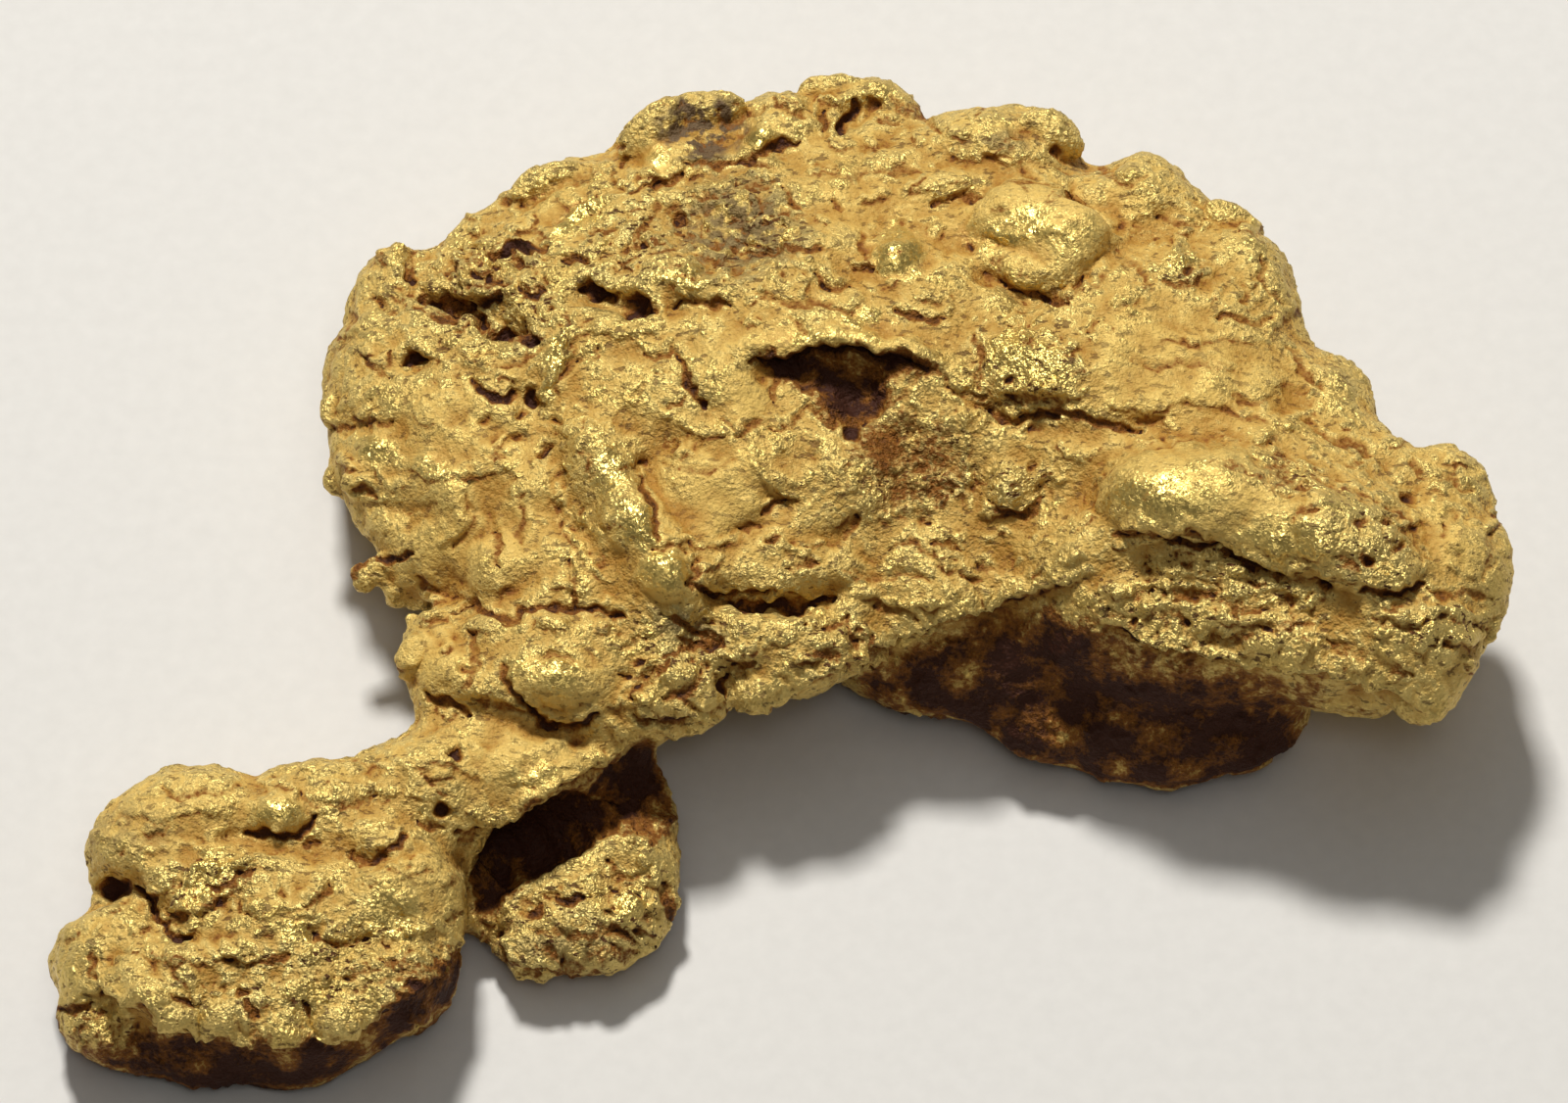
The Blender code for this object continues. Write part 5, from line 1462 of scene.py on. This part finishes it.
def draw_features(skin):
    """Presses what the reference view shows into the skin, and stores what its material
    needs: how rough, unseen, stained and polished each point is, and where clay and painted
    shade lie."""
    drawn = Skin(skin)
    for region in (UPPER_LEFT_LINES, CROWN_LINES, UPPER_RIGHT_LINES, LOWER_LEFT_LINES, BASIN_LINES,
                   RIGHT_BOSS_LINES, TIP_LINES, LIP_LINES, TOE_LINES, HEEL_LINES):
        for line in region.values():
            drawn.draw_line(*line)
    for ledge in LEDGES.values():
        drawn.draw_ledge(*ledge)
    for lump in LUMPS_AND_PITS.values():
        drawn.draw_lump(*lump)
    rough = PLAIN_ROUGHNESS + ROUGH_PATCH * patch_share(drawn, ROUGH_PATCHES)
    rough = rough + SMOOTH_PATCH * patch_share(drawn, SMOOTH_PATCHES)
    drawn.draw_flake_edges(rough)
    drawn.draw_crumbs(rough)
    drawn.apply()

    unseen = 1 - drawn.seen
    store(skin.data, "rough", rough + UNSEEN_ROUGHNESS * unseen)
    store(skin.data, "unseen", unseen)
    # Unseen skin is made darker toward the bottom
    darker_low = LOW_DARKENING * unseen * np.clip(1 - drawn.points[:, 2] / DARKENING_REACH, 0, 1)
    patched_clay_and_shade = np.maximum(darker_low, patch_share(drawn, CLAY_AND_SHADE_PATCHES))
    store(skin.data, "dirt_and_shade", np.maximum(drawn.dirt_and_shade, patched_clay_and_shade))
    store(skin.data, "stain", patch_share(drawn, STAINED_PATCHES))
    store(skin.data, "polish", patch_share(drawn, POLISHED_PATCHES))
    return unseen


def make_nugget(node):
    """The nugget's skin: fine mesh, drawn features, random relief, fewer triangles, gold."""
    skin = fine_skin(node)
    unseen = draw_features(skin)
    material = native_gold()
    skin.data.materials.clear()
    relief = skin.modifiers.new("crumb relief", "NODES")
    relief.node_group = relief_tree(material)
    for name, size in {**RELIEF, "Seed": RELIEF_SEED}.items():
        relief[relief.node_group.interface.items_tree[name].identifier] = float(size)
    keep_result(skin)

    hidden = unseen > WHOLLY_UNSEEN
    group = skin.vertex_groups.new(name="unseen")
    group.add(np.flatnonzero(hidden).tolist(), 1.0, "REPLACE")
    skin.data.calc_loop_triangles()
    seen_triangles = round(len(skin.data.loop_triangles) * (1 - hidden.mean()))
    thin_out(skin, seen_triangles + UNSEEN_TRIANGLES, "unseen")
    thin_out(skin, FINISHED_TRIANGLES)
    skin.vertex_groups.clear()

    wear = skin.modifiers.new("wear", "NODES")
    wear.node_group = wear_tree()
    keep_result(skin)
    skin.data.polygons.foreach_set("use_smooth", [True] * len(skin.data.polygons))
    for vertex in skin.data.vertices:
        vertex.co.z = max(vertex.co.z, 0.0)
    skin.data.update()
    return skin


def make_floor():
    """A sheet of pale matte studio paper."""
    bpy.ops.mesh.primitive_plane_add(size=PAPER_SIZE)
    floor = bpy.context.object
    floor.name = "floor"
    material = bpy.data.materials.new("pale matte paper")
    material.use_nodes = True
    tree = material.node_tree
    place = add_node(tree, "ShaderNodeTexCoord").outputs["Object"]
    fibre = add_node(tree, "ShaderNodeTexNoise",
                     {"Vector": place, "Scale": 1 / PAPER_FIBRE, "Detail": 3.0})
    colour = add_node(tree, "ShaderNodeMix", {0: fibre, 6: linear(PAPER[0]), 7: linear(PAPER[1])},
                      data_type="RGBA").outputs[2]
    tree.links.new(colour, tree.nodes["Principled BSDF"].inputs["Base Color"])
    tree.nodes["Principled BSDF"].inputs["Roughness"].default_value = PAPER_ROUGHNESS
    floor.data.materials.append(material)


def add_light(name, azimuth, elevation, distance, size, watts):
    """A square area light that looks at the nugget."""
    turn, rise = math.radians(azimuth), math.radians(elevation)
    direction = Vector((-math.sin(turn) * math.cos(rise), math.cos(turn) * math.cos(rise), math.sin(rise)))
    light = bpy.data.lights.new(name, "AREA")
    light.size = size
    light.energy = watts
    lamp = bpy.data.objects.new(name, light)
    lamp.location = VIEW_TARGET + direction * distance
    lamp.rotation_euler = direction.to_track_quat("Z", "Y").to_euler()
    bpy.context.scene.collection.objects.link(lamp)


def make_studio():
    """Camera at the reference view, key light from behind, weak fill and pale surroundings."""
    camera = bpy.data.cameras.new("camera")
    camera.sensor_width = SENSOR_WIDTH
    camera.lens = SENSOR_WIDTH * VIEW_DISTANCE / (PIXEL * FRAME_WIDTH)
    holder = bpy.data.objects.new("camera", camera)
    holder.matrix_world = Matrix.Translation(EYE) @ Matrix((RIGHT, UP, -AHEAD)).transposed().to_4x4()
    bpy.context.scene.collection.objects.link(holder)
    bpy.context.scene.camera = holder
    for name, settings in LIGHTS.items():
        add_light(name, *settings)
    world = bpy.data.worlds.new("studio")
    world.use_nodes = True
    world.node_tree.nodes["Background"].inputs["Color"].default_value = linear(SURROUNDINGS)
    world.node_tree.nodes["Background"].inputs["Strength"].default_value = SURROUNDINGS_STRENGTH
    bpy.context.scene.world = world
    bpy.context.scene.view_settings.view_transform = "Standard"


make_studio()
make_floor()
nugget = make_nugget(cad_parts["nugget"])
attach(nugget, "root")
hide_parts("nugget")
